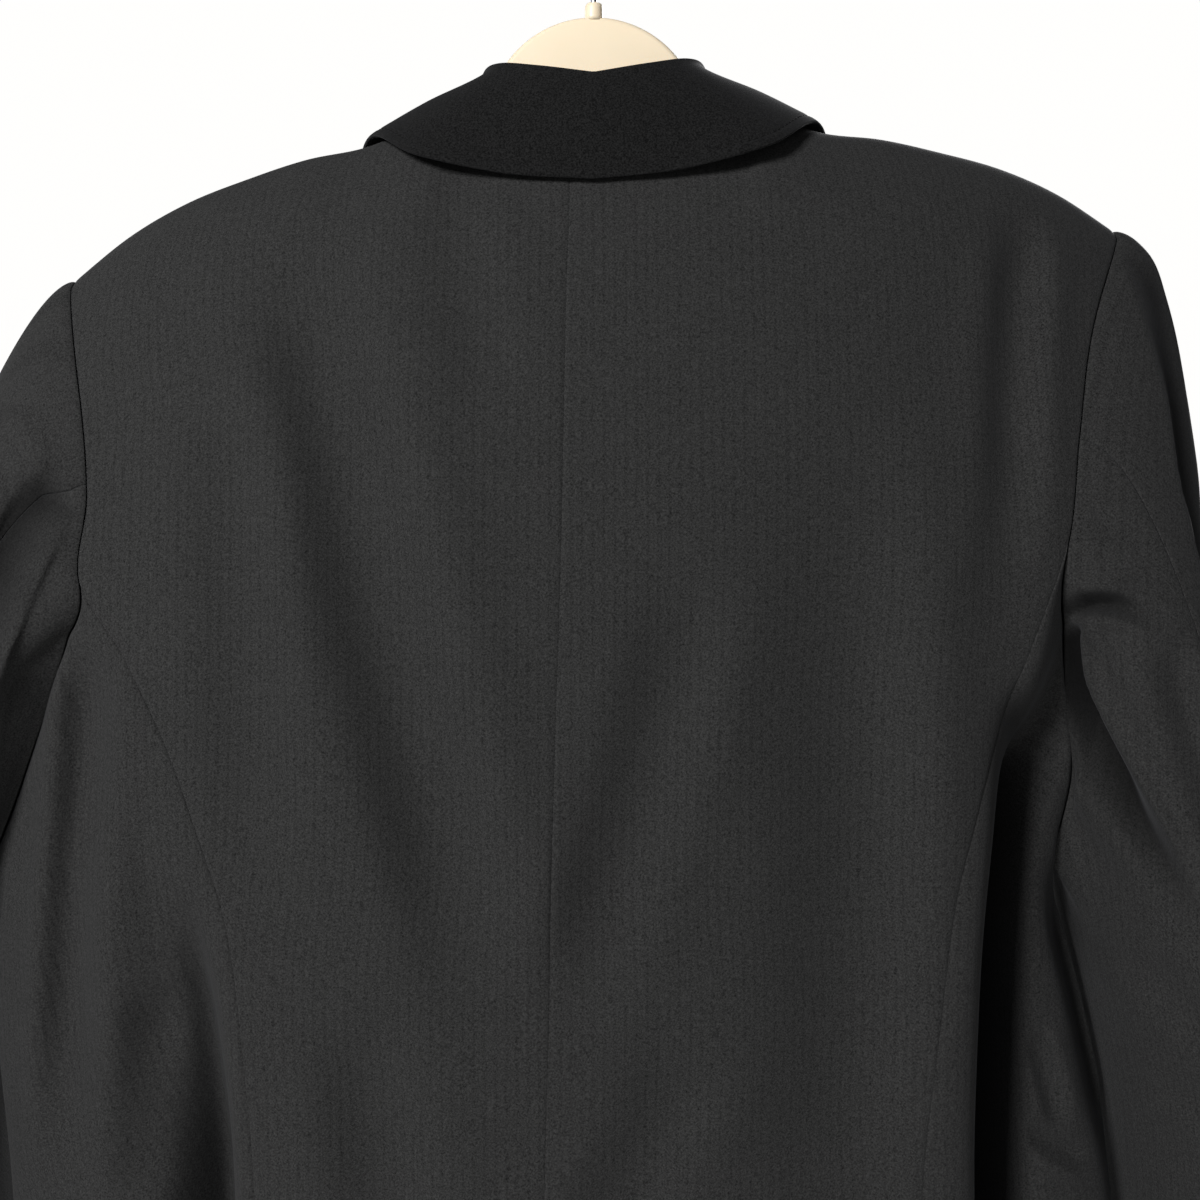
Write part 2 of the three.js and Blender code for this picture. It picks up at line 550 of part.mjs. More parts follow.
const SLEEVE_ROWS = [0, 0.06, 0.16, 0.3, 0.46, 0.64, 0.82, 1, 1.2, 1.4, 1.6, 1.8, 2];
const BACK_SLEEVE_SEAM = 6; // ring points, counted from the shoulder tip
const FRONT_SLEEVE_SEAM = 21;
function sleevePieces(side) {
  const ring = armholeRing(side);
  const turns = ringTurns(ring);
  const count = ring.length - 1;
  const at = (r, t) => sleeveAt(side, ring, turns, (r + count) % count, t);
  const gap = 0.5 * SEAM_GAP;
  const share = (from, to) => {
    const list = range(to - from, from, to);
    list[0] += gap / 16;
    list[list.length - 1] -= gap / 16;
    return list;
  };
  const outward = (r, t) => squareTo(at, -side.sign, r, t, 2);
  const top = clothGeometry(share(FRONT_SLEEVE_SEAM - count, BACK_SLEEVE_SEAM), SLEEVE_ROWS, at, outward, WALL);
  const under = clothGeometry(share(BACK_SLEEVE_SEAM, FRONT_SLEEVE_SEAM), SLEEVE_ROWS, at, outward, WALL);
  return [named("topsleeve_" + side.name, top, CLOTH), named("undersleeve_" + side.name, under, CLOTH)];
}

function lapel(side) {
  const at = (b, a) => lapelAt(side, a, b);
  const outward = (b, a) => squareTo(at, side.sign, b, a);
  return named("lapel_" + side.name, clothGeometry(range(6), range(10), at, outward, LAPEL_WALL), CLOTH);
}

function collar() {
  const at = (b, c) => collarAt(c, b);
  const outward = (b, c) => squareTo((e, d) => at(e, d * 2 - 1), 1, b, (c + 1) / 2);
  return named("collar", clothGeometry(range(13), range(28, -1, 1), at, outward, COLLAR_WALL), CLOTH);
}

function button(index) {
  const h = BUTTON_HEIGHTS[index];
  const half = BUTTON_THICK / 2;
  const rim = BUTTON_RADIUS;
  const profile = [
    [0, -half],
    [rim - 1.6, -half],
    [rim, -half + 1.2],
    [rim, half - 1],
    [rim - 1, half],
    [rim - 2.4, half],
    [rim - 3.4, half - 0.9],
    [0, half - 0.9],
  ].map(([r, z]) => new THREE.Vector2(r, z));
  const geometry = new THREE.LatheGeometry(profile, 24);
  const on = frontPointAt(RIGHT, OVERLAP / (frontEdge.x(h) + OVERLAP), h);
  geometry.rotateX(Math.PI);
  const front = frontPointAt(RIGHT, OVERLAP / (frontEdge.x(h) + OVERLAP), h - rim).y;
  geometry.translate(0, Math.min(on.y, front) - half - 0.4, h - NAPE_DROP);
  return named("button_" + (index + 1), geometry, BUTTON_PLASTIC);
}

function solid(geometry) {
  const bare = geometry.index ? geometry.toNonIndexed() : geometry.clone();
  bare.deleteAttribute("normal");
  bare.deleteAttribute("uv");
  const merged = mergeVertices(bare, 1e-3);
  return new wasm.Manifold(
    new wasm.Mesh({
      numProp: 3,
      vertProperties: merged.attributes.position.array,
      triVerts: new Uint32Array(merged.index.array),
    }),
  );
}

function geometryOf(shape) {
  const mesh = shape.getMesh();
  const geometry = new THREE.BufferGeometry();
  geometry.setAttribute("position", new THREE.Float32BufferAttribute(mesh.vertProperties, 3));
  geometry.setIndex(new THREE.BufferAttribute(mesh.triVerts, 1));
  return geometry;
}

// A bar from rings of points with flat ends.
function barGeometry(rings) {
  const n = rings[0].length;
  const points = rings.flat().flatMap((p) => [p.x, p.y, p.z]);
  const index = [];
  for (let j = 0; j + 1 < rings.length; j++) {
    for (let i = 0; i < n; i++) {
      const [a, b] = [j * n + i, j * n + ((i + 1) % n)];
      index.push(a, b, b + n, a, b + n, a + n);
    }
  }
  const last = (rings.length - 1) * n;
  for (let i = 1; i + 1 < n; i++) index.push(0, i + 1, i, last, last + i, last + i + 1);
  const geometry = new THREE.BufferGeometry();
  geometry.setAttribute("position", new THREE.Float32BufferAttribute(points, 3));
  geometry.setIndex(signedVolume(points, index) < 0 ? index.reverse() : index);
  return geometry;
}

// The hanger's arms: a rounded bar whose top follows the shoulder seam, just under the cloth.
function arms() {
  const rings = range(24, -ARM_REACH, ARM_REACH).map((x) => {
    const far = Math.max(60, Math.abs(x));
    const underCollar = 9 * Math.exp(-(((far - 62) / 22) ** 2));
    const top = ridge.h(far) - WALL - 2.2 - underCollar + tilt(x) - NAPE_DROP;
    const thin = 0.62 + 0.38 * Math.sqrt(1 - (Math.abs(x) / (ARM_REACH + 6)) ** 6);
    const half = (ARM_HEIGHT / 2) * thin;
    const sides = range(11, 0, (22 / 12) * Math.PI);
    return sides.map(
      (a) => new THREE.Vector3(x, ridge.y(far) + 0.5 * ARM_THICK * thin * Math.sin(a), top - half + half * Math.cos(a)),
    );
  });
  return solid(barGeometry(rings));
}

function hanger() {
  const plate = new THREE.CylinderGeometry(PLATE_RADIUS, PLATE_RADIUS, PLATE_THICK, 48);
  plate.translate(0, ridge.y(0), PLATE_H - NAPE_DROP);
  const stemLow = PLATE_H + PLATE_RADIUS - STEM_SUNK;
  const stem = new THREE.CylinderGeometry(STEM_RADIUS, STEM_RADIUS, STEM_TOP_H - stemLow, 20);
  stem.rotateX(Math.PI / 2).translate(0, ridge.y(0), (STEM_TOP_H + stemLow) / 2 - NAPE_DROP);
  return named("hanger", geometryOf(solid(plate).add(solid(stem)).add(arms())), HANGER_PLASTIC);
}

// The hook: a wire that rises from the stem, swings out and goes over the rail's place.
function hook() {
  const centre = -HOOK_RADIUS - WIRE_RADIUS + 2 * WIRE_RADIUS;
  const y = ridge.y(0);
  const foot = STEM_TOP_H - NAPE_DROP + 0.3;
  const turnIn = range(13, -55, 195).map((d) => (d * Math.PI) / 180);
  const bow = turnIn.map((a) => new THREE.Vector3(HOOK_RADIUS * Math.cos(a), y, centre + HOOK_RADIUS * Math.sin(a)));
  const path = new THREE.CatmullRomCurve3([
    new THREE.Vector3(0, y, foot),
    new THREE.Vector3(0, y, foot + 7),
    new THREE.Vector3(1.2, y, foot + 14),
    ...bow,
  ]);
  const round = new THREE.Shape().absarc(0, 0, WIRE_RADIUS, 0, 2 * Math.PI);
  const geometry = new THREE.ExtrudeGeometry(round, { steps: 34, extrudePath: path, curveSegments: 4 });
  return named("hook", geometryOf(solid(geometry)), WIRE_STEEL);
}

const LEFT = makeSide("left", 1);
const RIGHT = makeSide("right", -1);

const blazer = new THREE.Group();
for (const side of [LEFT, RIGHT]) blazer.add(...bodyPanels(side), ...sleevePieces(side), lapel(side));
blazer.add(collar());
BUTTON_HEIGHTS.forEach((_, i) => blazer.add(button(i)));
blazer.add(hanger(), hook());

export default blazer;
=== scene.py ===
"""A black blazer on a pale plastic hanger, seen from behind.

The pieces are worked out in millimetres and put into their meshes in metres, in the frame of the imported
part: +Z up, the garment's front faces -Y, its left side is +X, and the origin is inside the top of the
hanger's hook. Heights called h are measured from the nape, the middle of the back neck seam.
"""
import math

import bpy
import numpy as np
from mathutils import Euler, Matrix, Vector


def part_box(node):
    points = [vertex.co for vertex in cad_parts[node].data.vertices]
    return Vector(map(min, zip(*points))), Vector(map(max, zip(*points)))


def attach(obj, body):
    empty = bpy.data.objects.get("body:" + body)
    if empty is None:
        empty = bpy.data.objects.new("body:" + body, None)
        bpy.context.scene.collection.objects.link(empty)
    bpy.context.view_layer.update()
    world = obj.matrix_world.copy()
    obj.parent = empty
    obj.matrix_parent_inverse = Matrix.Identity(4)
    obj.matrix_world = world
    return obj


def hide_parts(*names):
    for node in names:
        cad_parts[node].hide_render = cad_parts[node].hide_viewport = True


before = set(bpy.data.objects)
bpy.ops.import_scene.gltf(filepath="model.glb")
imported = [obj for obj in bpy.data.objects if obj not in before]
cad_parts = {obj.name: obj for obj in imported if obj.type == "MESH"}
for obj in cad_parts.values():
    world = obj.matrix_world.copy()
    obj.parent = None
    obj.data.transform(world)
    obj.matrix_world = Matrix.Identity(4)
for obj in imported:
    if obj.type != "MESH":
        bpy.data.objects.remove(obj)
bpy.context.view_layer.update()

# Driving sizes, as in the part's source, but for the collar's front ends, which lie closer to the fronts
MM = 0.001
NAPE_DROP = 138
BACK_LENGTH = 729
SHOULDER = 236
NECK_HALF = 68
NECK_RISE = 27
NECK_DEPTH = 40
SHOULDER_ROUND = 55
UNDERARM_ROUND = 70
SEAM_START = -172
OVERLAP = 20
UNDER_STEP = 7
CUFF_H = -642
CAP_END_H = -352
ARMHOLE_GAP = 0.3
SLEEVE_LEAN = 14
CAP_LIFT = {"left": 80, "right": 125}
SIGN = {"left": 1, "right": -1}


def table(columns, *rows):
    """Rows of numbers under named columns."""
    return dict(zip(columns.split(), np.array(rows, float).T))


SHOULDER_SEAM = table(
    "x h y",
    (0, 30, 0),
    (68, 27, 0),
    (101, 16.5, -1),
    (128, 13, -3),
    (155, 6.5, -5),
    (182, -1.5, -7),
    (209, -14, -9),
    (236, -32, -11),
)
CENTRE_BACK = table(
    "h drift y",
    (0, 10, 40),
    (-25, 10, 48),
    (-60, 11, 56),
    (-120, 12, 64),
    (-172, 13, 67),
    (-240, 15, 68),
    (-318, 17, 66),
    (-365, 18, 63),
    (-440, 20, 61),
    (-560, 21, 67),
    (-729, 22, 75),
)
CENTRE_FRONT = table(
    "h x y",
    (27, 67, 0),
    (0, 62, -20),
    (-60, 50, -44),
    (-150, 32, -60),
    (-250, 9, -68),
    (-345, -15, -73),
    (-380, -20, -74),
    (-440, -20, -76),
    (-560, -20, -81),
    (-660, -19, -85),
    (-700, -8, -87),
    (-729, 22, -88),
)
BACK_EDGE = {
    "left": table(
        "h x y",
        (-37, 236, 8),
        (-90, 222, 24),
        (-136, 214.5, 36),
        (-172, 215, 43),
        (-204, 195, 48),
        (-240, 177, 52),
        (-287, 160, 54),
        (-318, 151, 54),
        (-365, 145, 53),
        (-440, 140, 50),
        (-560, 142, 53),
        (-729, 152, 59),
    ),
    "right": table(
        "h x y",
        (-37, 236, 8),
        (-80, 217, 21),
        (-129, 206, 35),
        (-172, 199, 43),
        (-204, 187, 47),
        (-240, 172, 50),
        (-287, 157, 51),
        (-318, 149, 50),
        (-365, 143, 49),
        (-440, 136, 48),
        (-560, 140, 52),
        (-729, 151, 59),
    ),
}
FRONT_EDGE = table(
    "h x y",
    (-37, 236, -18),
    (-90, 213, -31),
    (-136, 199, -41),
    (-172, 193, -47),
    (-240, 190, -55),
    (-318, 185, -61),
    (-365, 181, -65),
    (-440, 178, -69),
    (-560, 183, -75),
    (-729, 194, -83),
)
UNDERARM = {
    "left": table(
        "x y h",
        (215, 43, -172),
        (222, 37, -194),
        (234, 29, -224),
        (250, 18, -258),
        (270, -2, -298),
        (240, -32, -262),
        (193, -47, -172),
    ),
    "right": table(
        "x y h",
        (199, 43, -172),
        (201, 30, -208),
        (206, 17, -244),
        (212, 6, -280),
        (204, -9, -318),
        (204, -34, -270),
        (193, -47, -172),
    ),
}
SECTION_COLUMNS = "h ridge_x ridge_y valley_x valley_y strip_x strip_y side_x side_y turn_x turn_y"
SIDE_SECTIONS = {
    "left": table(
        SECTION_COLUMNS,
        (-172, 218, 41, 222, 38, 228, 32, 238, 8, 224, -36),
        (-240, 188, 50, 201, 47, 224, 41, 256, 6, 234, -42),
        (-318, 163, 51, 179, 43, 213, 41, 266, 2, 242, -48),
        (-365, 154, 49, 170, 32, 204, 38, 268, 0, 242, -52),
        (-440, 149, 44, 165, 10, 196, 32, 262, -2, 238, -55),
        (-560, 151, 47, 166, 4, 196, 30, 258, -4, 236, -60),
        (-729, 162, 53, 178, 20, 210, 34, 266, -6, 244, -66),
    ),
    "right": table(
        SECTION_COLUMNS,
        (-172, 200, 41, 201, 34, 204, 26, 208, 6, 203, -36),
        (-240, 182, 44, 188, 4, 203, 12, 213, -6, 206, -44),
        (-318, 166, 42, 172, -16, 193, 8, 213, -10, 208, -50),
        (-365, 162, 40, 172, -22, 193, 6, 221, -12, 212, -54),
        (-440, 160, 39, 171, -20, 193, 6, 236, -14, 220, -58),
        (-560, 163, 44, 176, -8, 199, 9, 242, -14, 226, -62),
        (-729, 173, 52, 188, 10, 212, 18, 252, -12, 236, -68),
    ),
}
SLEEVE_SECTIONS = {
    "left": table(
        "h x y half_width half_depth",
        (-352, 309, -10, 33, 68),
        (-440, 308, -14, 33, 66),
        (-520, 303, -26, 31, 61),
        (-590, 296, -44, 29, 56),
        (-642, 290, -58, 27, 53),
    ),
    "right": table(
        "h x y half_width half_depth",
        (-352, 258, -10, 33, 66),
        (-440, 276, -14, 33, 65),
        (-520, 281, -26, 31, 60),
        (-590, 279, -44, 29, 56),
        (-642, 277, -58, 27, 53),
    ),
}
COLLAR_COLUMNS = "at seam_x seam_y seam_h roll_x roll_y roll_h edge_x edge_y edge_h"
COLLAR_SECTIONS = table(
    COLLAR_COLUMNS,
    (0.0, 0, 40, 0.35, 0, 34, 35, 0, 47, -14),
    (0.16, 30, 36, 3.4, 24, 30, 40, 38, 45.5, -10),
    (0.3, 52, 25.5, 11.6, 41, 18, 46, 76, 41, 1),
    (0.42, 65.2, 8, 22.6, 49, 3, 48, 98, 12, 19.4),
    (0.54, 64.5, -12, 14, 52, -14, 42, 108, -15, 14.7),
    (0.76, 57, -31, -20, 50, -35, 8, 110, -32, -18),
    (1.0, 52, -43, -44, 46, -48, -30, 108, -45, -50),
)
NOTCH_DIP = 17
LAPEL_EDGE = table(
    "at x h",
    (0, -13, -342),
    (0.2, 20, -298),
    (0.45, 60, -232),
    (0.75, 98, -150),
    (1, 117, -92),
)
LAPEL_TOP_H = -52


def crease(line, widths, depth, swells=(0.3, 0.3), fade=(0.25, 0.3)):
    """A soft trough along a line of (across, height) points, the first its upper end. Widths and swells are
    for its two sides, the one towards the garment's left first. fade gives the shares of its length that it
    starts and ends in."""
    return dict(line=line, widths=widths, depth=depth, swells=swells, fade=fade)


BACK_CREASES = (
    crease(
        ((131, -30), (114, -87), (97, -152), (83, -206), (70, -256), (54, -315), (36, -375)),
        (20, 22), 11.5, (0.25, 0.4), (0.2, 0.3),
    ),
    crease(
        ((-44, -170), (-32, -225), (-18, -275), (-3, -320), (14, -372)),
        (18, 16), 6.0, (0.3, 0.3), (0.3, 0.3),
    ),
    crease(((152, -90), (146, -150), (141, -230), (134, -330)), (17, 16), 4.0, (0.3, 0.4), (0.3, 0.3)),
    crease(
        ((-188, -20), (-181, -74), (-177, -112), (-174, -152), (-164, -215)),
        (12, 11), 6.5, (0.3, 0.5), (0.2, 0.4),
    ),
    crease(
        ((-100, -100), (-103, -222), (-106, -300), (-104, -389), (-98, -470)),
        (30, 26), 8.5, (0.1, 0.8), (0.3, 0.25),
    ),
    crease(((-44, -372), (-24, -412), (-6, -460), (8, -530)), (18, 16), 4.8),
    crease(((98, -350), (88, -410), (84, -459), (90, -560)), (18, 20), 6.5),
    crease(((64, -14), (50, -60), (40, -118)), (14, 13), 2.4),
    crease(((-80, -450), (-95, -560), (-92, -670)), (24, 26), 7.0),
    crease(((70, -480), (52, -590), (60, -700)), (26, 22), 7.0),
)
SIDE_CREASES = (
    crease(
        ((213, -196), (214, -221), (217, -268), (222, -312), (228, -378), (231, -440)),
        (10, 14), 8.5, (0.6, 0.3),
    ),
    crease(((184, -340), (191, -395), (194, -450)), (11, 11), 4.5),
    crease(
        ((170, -290), (163, -345), (159, -400), (159, -470), (162, -560)),
        (8, 6), 9.0, (0.1, 0.0), (0.3, 0.3),
    ),
    crease(
        ((-203, -306), (-209, -341), (-219, -377), (-230, -423), (-239, -463), (-246, -540)),
        (6, 4.5), 11.0, (0.0, 0.0), (0.3, 0.4),
    ),
    crease(((215, -450), (221, -560), (226, -680)), (15, 15), 6.5),
    crease(((-195, -388), (-202, -412), (-209, -438)), (5, 6), 4.5, (0.3, 0.6)),
    crease(((-192, -432), (-206, -442), (-222, -450)), (5, 5), 3.8, (0.7, 0.2)),
    crease(((-212, -470), (-222, -560), (-226, -660)), (11, 12), 5.5),
    crease(
        ((-180, -225), (-178, -300), (-178, -440), (-182, -580), (-196, -760)),
        (10, 9), 24.0, (0.0, 0.0), (0.2, 0.05),
    ),
)
FRONT_CREASES = (
    crease(((168, -150), (142, -215), (104, -280), (60, -332), (22, -360)), (14, 12), 4.6),
    crease(((176, -250), (150, -320), (112, -372)), (12, 13), 3.0),
    crease(((-172, -140), (-150, -205), (-118, -268), (-70, -326)), (13, 14), 4.2),
    crease(((-180, -262), (-160, -330), (-116, -384)), (12, 11), 3.0),
    crease(((120, -420), (128, -520), (122, -650)), (22, 20), 4.0),
    crease(((-112, -430), (-124, -530), (-130, -660)), (20, 23), 4.2),
    crease(((60, -440), (56, -560), (66, -690)), (20, 17), 2.2),
    crease(((-58, -470), (-66, -570), (-60, -700)), (18, 18), 2.4),
)
SLEEVE_BACK_CREASES = (
    crease(
        ((221, -134), (232, -141), (241, -158), (251, -186), (259, -215), (264, -249)),
        (14, 6), 14.0, (0.1, 0.45), (0.05, 0.4),
    ),
    crease(((262, -196), (276, -236), (282, -290)), (10, 9), 5.5),
    crease(((290, -330), (298, -366), (318, -392)), (8, 7), 3.6),
    crease(((284, -398), (300, -418), (322, -424)), (7, 8), 3.2),
    crease(((292, -470), (304, -520), (300, -590)), (12, 11), 3.0),
    crease(
        (
            (-237, -41), (-245, -75), (-252, -110), (-254, -147),
            (-259, -172), (-263, -205), (-265, -249), (-270, -290),
        ),
        (3.0, 13), 9.5, (0.15, 0.0), (0.12, 0.25),
    ),
    crease(
        ((-197, -202), (-209, -200), (-222, -203), (-240, -212)),
        (4.2, 4.6), 9.0, (0.5, 0.4), (0.04, 0.6),
    ),
    crease(
        ((-203, -208), (-207, -231), (-214, -250), (-221, -267), (-229, -286), (-241, -314), (-252, -345)),
        (6.5, 3.6), 14.0, (0.5, 0.4), (0.06, 0.4),
    ),
    crease(((-236, -216), (-246, -250), (-256, -285), (-266, -318)), (12, 8), 8.5),
    crease(((-206, -164), (-218, -171), (-233, -175)), (4, 5), 2.4, (0.5, 0.2)),
    crease(((-236, -350), (-254, -380), (-282, -398)), (8, 7), 4.0),
    crease(((-246, -408), (-268, -424), (-296, -430)), (7, 8), 3.2),
    crease(((-262, -470), (-272, -530), (-266, -600)), (12, 11), 3.0),
)
SLEEVE_FRONT_CREASES = (
    crease(((232, -150), (262, -190), (284, -248)), (8, 9), 3.8),
    crease(((286, -270), (308, -318), (330, -346)), (9, 8), 3.4),
    crease(((276, -352), (300, -380), (326, -392)), (7, 8), 3.8),
    crease(((280, -404), (304, -424), (322, -430)), (8, 7), 3.2),
    crease(((298, -470), (292, -540), (302, -610)), (11, 12), 2.6),
    crease(((-214, -156), (-236, -196), (-252, -252)), (9, 8), 3.6),
    crease(((-238, -268), (-258, -312), (-286, -340)), (8, 9), 3.6),
    crease(((-246, -356), (-270, -384), (-300, -392)), (8, 7), 3.6),
    crease(((-256, -412), (-276, -430), (-300, -438)), (7, 8), 3.0),
    crease(((-280, -480), (-274, -550), (-282, -616)), (12, 11), 2.6),
)


def column(rows, by, key, x):
    """The column key at x of the column by: a cubic between two rows, whose slope at each row is that of
    the chord between its neighbours, and the end value outside the table."""
    order = np.argsort(rows[by])
    xs = rows[by][order]
    ys = rows[key][order]
    before = np.maximum(np.arange(len(xs)) - 1, 0)
    after = np.minimum(np.arange(len(xs)) + 1, len(xs) - 1)
    slope = (ys[after] - ys[before]) / (xs[after] - xs[before])
    i = np.clip(np.searchsorted(xs, x, side="right") - 1, 0, len(xs) - 2)
    span = xs[i + 1] - xs[i]
    t = np.clip((x - xs[i]) / span, 0, 1)
    bend = t * (t - 1) * span * ((t - 1) * slope[i] + t * slope[i + 1])
    return ys[i] + (ys[i + 1] - ys[i]) * t * t * (3 - 2 * t) + bend


def ease(t):
    """0 below 0, 1 above 1, and the cubic 3t^2 - 2t^3 between."""
    t = np.clip(t, 0, 1)
    return t * t * (3 - 2 * t)


def round_over(t):
    """A quarter circle: 0 at t = 0, where it starts square, and 1 from t = 1 on."""
    return np.sqrt(1 - (1 - np.clip(t, 0, 1)) ** 2)


def tilt(x):
    """How far the cloth hangs lower on the left than on the right, at x across."""
    return -(0.02 * x + 0.00012 * x * np.abs(x))


def place(side, x, y, h):
    """Points from a distance out from the middle, a depth and a height from the nape."""
    across = SIGN[side] * x
    return np.stack(np.broadcast_arrays(across, y, h - NAPE_DROP + tilt(across)), -1)


def level_of(top, v):
    """The height at v: the first half runs from the top edge to the side seams' start, the rest to the hem."""
    upper = top + (SEAM_START - top) * v * 2
    lower = SEAM_START + (-BACK_LENGTH - SEAM_START) * (v * 2 - 1)
    return np.where(v < 0.5, upper, lower)


def back_surface(side, u, v):
    """The back panel: at each level its depth goes from the centre seam's to the side seam's as u^2.2, and
    it rounds over to the shoulder seam and neckline by a quarter circle."""
    start = SIGN[side] * CENTRE_BACK["drift"][0]
    top_x = start * (1 - u) + SHOULDER * u
    neck_round = np.sqrt(np.clip(1 - (top_x / NECK_HALF) ** 2, 0, 1))
    on_neck = np.abs(top_x) < NECK_HALF
    top_h = np.where(on_neck, NECK_RISE * (1 - neck_round), column(SHOULDER_SEAM, "x", "h", top_x))
    top_y = np.where(on_neck, NECK_DEPTH * neck_round, column(SHOULDER_SEAM, "x", "y", top_x))
    h = level_of(top_h, v)
    middle = SIGN[side] * column(CENTRE_BACK, "h", "drift", h)
    x = middle + u * (column(BACK_EDGE[side], "h", "x", h) - middle)
    centre_y = column(CENTRE_BACK, "h", "y", h)
    y = centre_y + (column(BACK_EDGE[side], "h", "y", h) - centre_y) * np.maximum(u, 0) ** 2.2
    over = round_over((top_h - h) / SHOULDER_ROUND)
    return place(side, x, top_y + (y - top_y) * over, h)


def front_surface(side, u, v):
    """The front panel: at each level its depth goes from the centre's to the side seam's as u^2, with a low
    swell at the chest, and it rounds over to the shoulder seam. The left front steps in where the right one
    laps it."""
    top_x = NECK_HALF + (SHOULDER - NECK_HALF) * u
    top_h = column(SHOULDER_SEAM, "x", "h", top_x)
    top_y = column(SHOULDER_SEAM, "x", "y", top_x)
    h = level_of(top_h, v)
    inner = column(CENTRE_FRONT, "h", "x", h)
    x = inner + u * (column(FRONT_EDGE, "h", "x", h) - inner)
    chest = 7 * np.exp(-(((h + 235) / 90) ** 2)) * np.sin(np.pi * u)
    under = UNDER_STEP * (1 - ease((x - OVERLAP) / 45)) * ease(-(h + 200) / 70) * (side == "left")
    centre_y = column(CENTRE_FRONT, "h", "y", h)
    y = centre_y + (column(FRONT_EDGE, "h", "y", h) - centre_y) * u * u - chest + under
    over = round_over((top_h - h) / SHOULDER_ROUND)
    return place(side, top_x + (x - top_x) * over, top_y + (y - top_y) * over, h)


def through(stations, t):
    """A Catmull-Rom curve through stations, counted by the first axis, at share t of their row."""
    last = len(stations) - 1
    i = np.clip(np.floor(t * last).astype(int), 0, last - 1)
    f = t * last - i
    a, b, c, d = (
        np.take_along_axis(stations, np.clip(i + k, 0, last)[None], 0)[0] for k in (-1, 0, 1, 2)
    )
    return b + 0.5 * f * (c - a + f * (2 * a - 5 * b + 4 * c - d + f * (3 * (b - c) + d - a)))


SIDE_STATIONS = ("ridge", "valley", "strip", "side", "turn")


def side_surface(side, u, v):
    """The side panel: at each level a Catmull-Rom curve from the side-back seam through the fold's ridge,
    the valley, the strip, the side and the turn to the side-front seam. It leaves the armhole by a quarter
    circle."""
    u, v = np.broadcast_arrays(u, v)
    under = UNDERARM[side]
    top = {k: through(np.broadcast_to(under[k][:, None, None], (len(under[k]), *u.shape)), u) for k in "xyh"}
    h = top["h"] + (-BACK_LENGTH - top["h"]) * v
    rows = SIDE_SECTIONS[side]
    stations = {}
    for k in "xy":
        middle = [column(rows, "h", f"{name}_{k}", h) for name in SIDE_STATIONS]
        back, front = column(BACK_EDGE[side], "h", k, h), column(FRONT_EDGE, "h", k, h)
        stations[k] = through(np.stack([back, *middle, front]), u)
    seam = np.minimum(1, np.minimum(u, 1 - u) * 6)
    share = 1 - seam * (1 - round_over((top["h"] - h) / UNDERARM_ROUND))
    x = top["x"] + (stations["x"] - top["x"]) * share
    y = top["y"] + (stations["y"] - top["y"]) * share
    return place(side, x, y, h)


UPPER_ROWS = np.array([0, 0.012, 0.05, 0.13, 0.26, 0.45, 0.7, 1]) / 2
BACK_TURN = 7
FRONT_TURN = 23
WHOLE_TURN = 30
BACK_SLEEVE_SEAM = 6
FRONT_SLEEVE_SEAM = 21


def armhole(side, r):
    """The armhole at r: 0 at the shoulder tip, down the back to BACK_TURN, under the arm to FRONT_TURN, and
    up the front to WHOLE_TURN, along the edges of the three panels."""
    r = r % WHOLE_TURN
    back = back_surface(side, np.ones_like(r), np.interp(r, np.arange(8), UPPER_ROWS))
    share = np.clip((r - BACK_TURN) / (FRONT_TURN - BACK_TURN), 0, 1)[None]
    under = side_surface(side, share, np.zeros((1, 1)))[0]
    front = front_surface(side, np.ones_like(r), np.interp(WHOLE_TURN - r, np.arange(8), UPPER_ROWS))
    return np.where((r < BACK_TURN)[:, None], back, np.where((r > FRONT_TURN)[:, None], front, under))


def oval_at(side, h):
    """The sleeve's oval at a height, from the table of sections: its centre's x and y, half width, half
    depth."""
    return [column(SLEEVE_SECTIONS[side], "h", k, h) for k in ("x", "y", "half_width", "half_depth")]


def tube_points(side, turn, h):
    """The sleeve below the cap: an oval that leans outwards as it goes back."""
    centre_x, centre_y, half_width, half_depth = oval_at(side, h)
    x = centre_x + half_width * np.cos(turn) + SLEEVE_LEAN * np.sin(turn)
    return place(side, x, centre_y + half_depth * np.sin(turn), h)


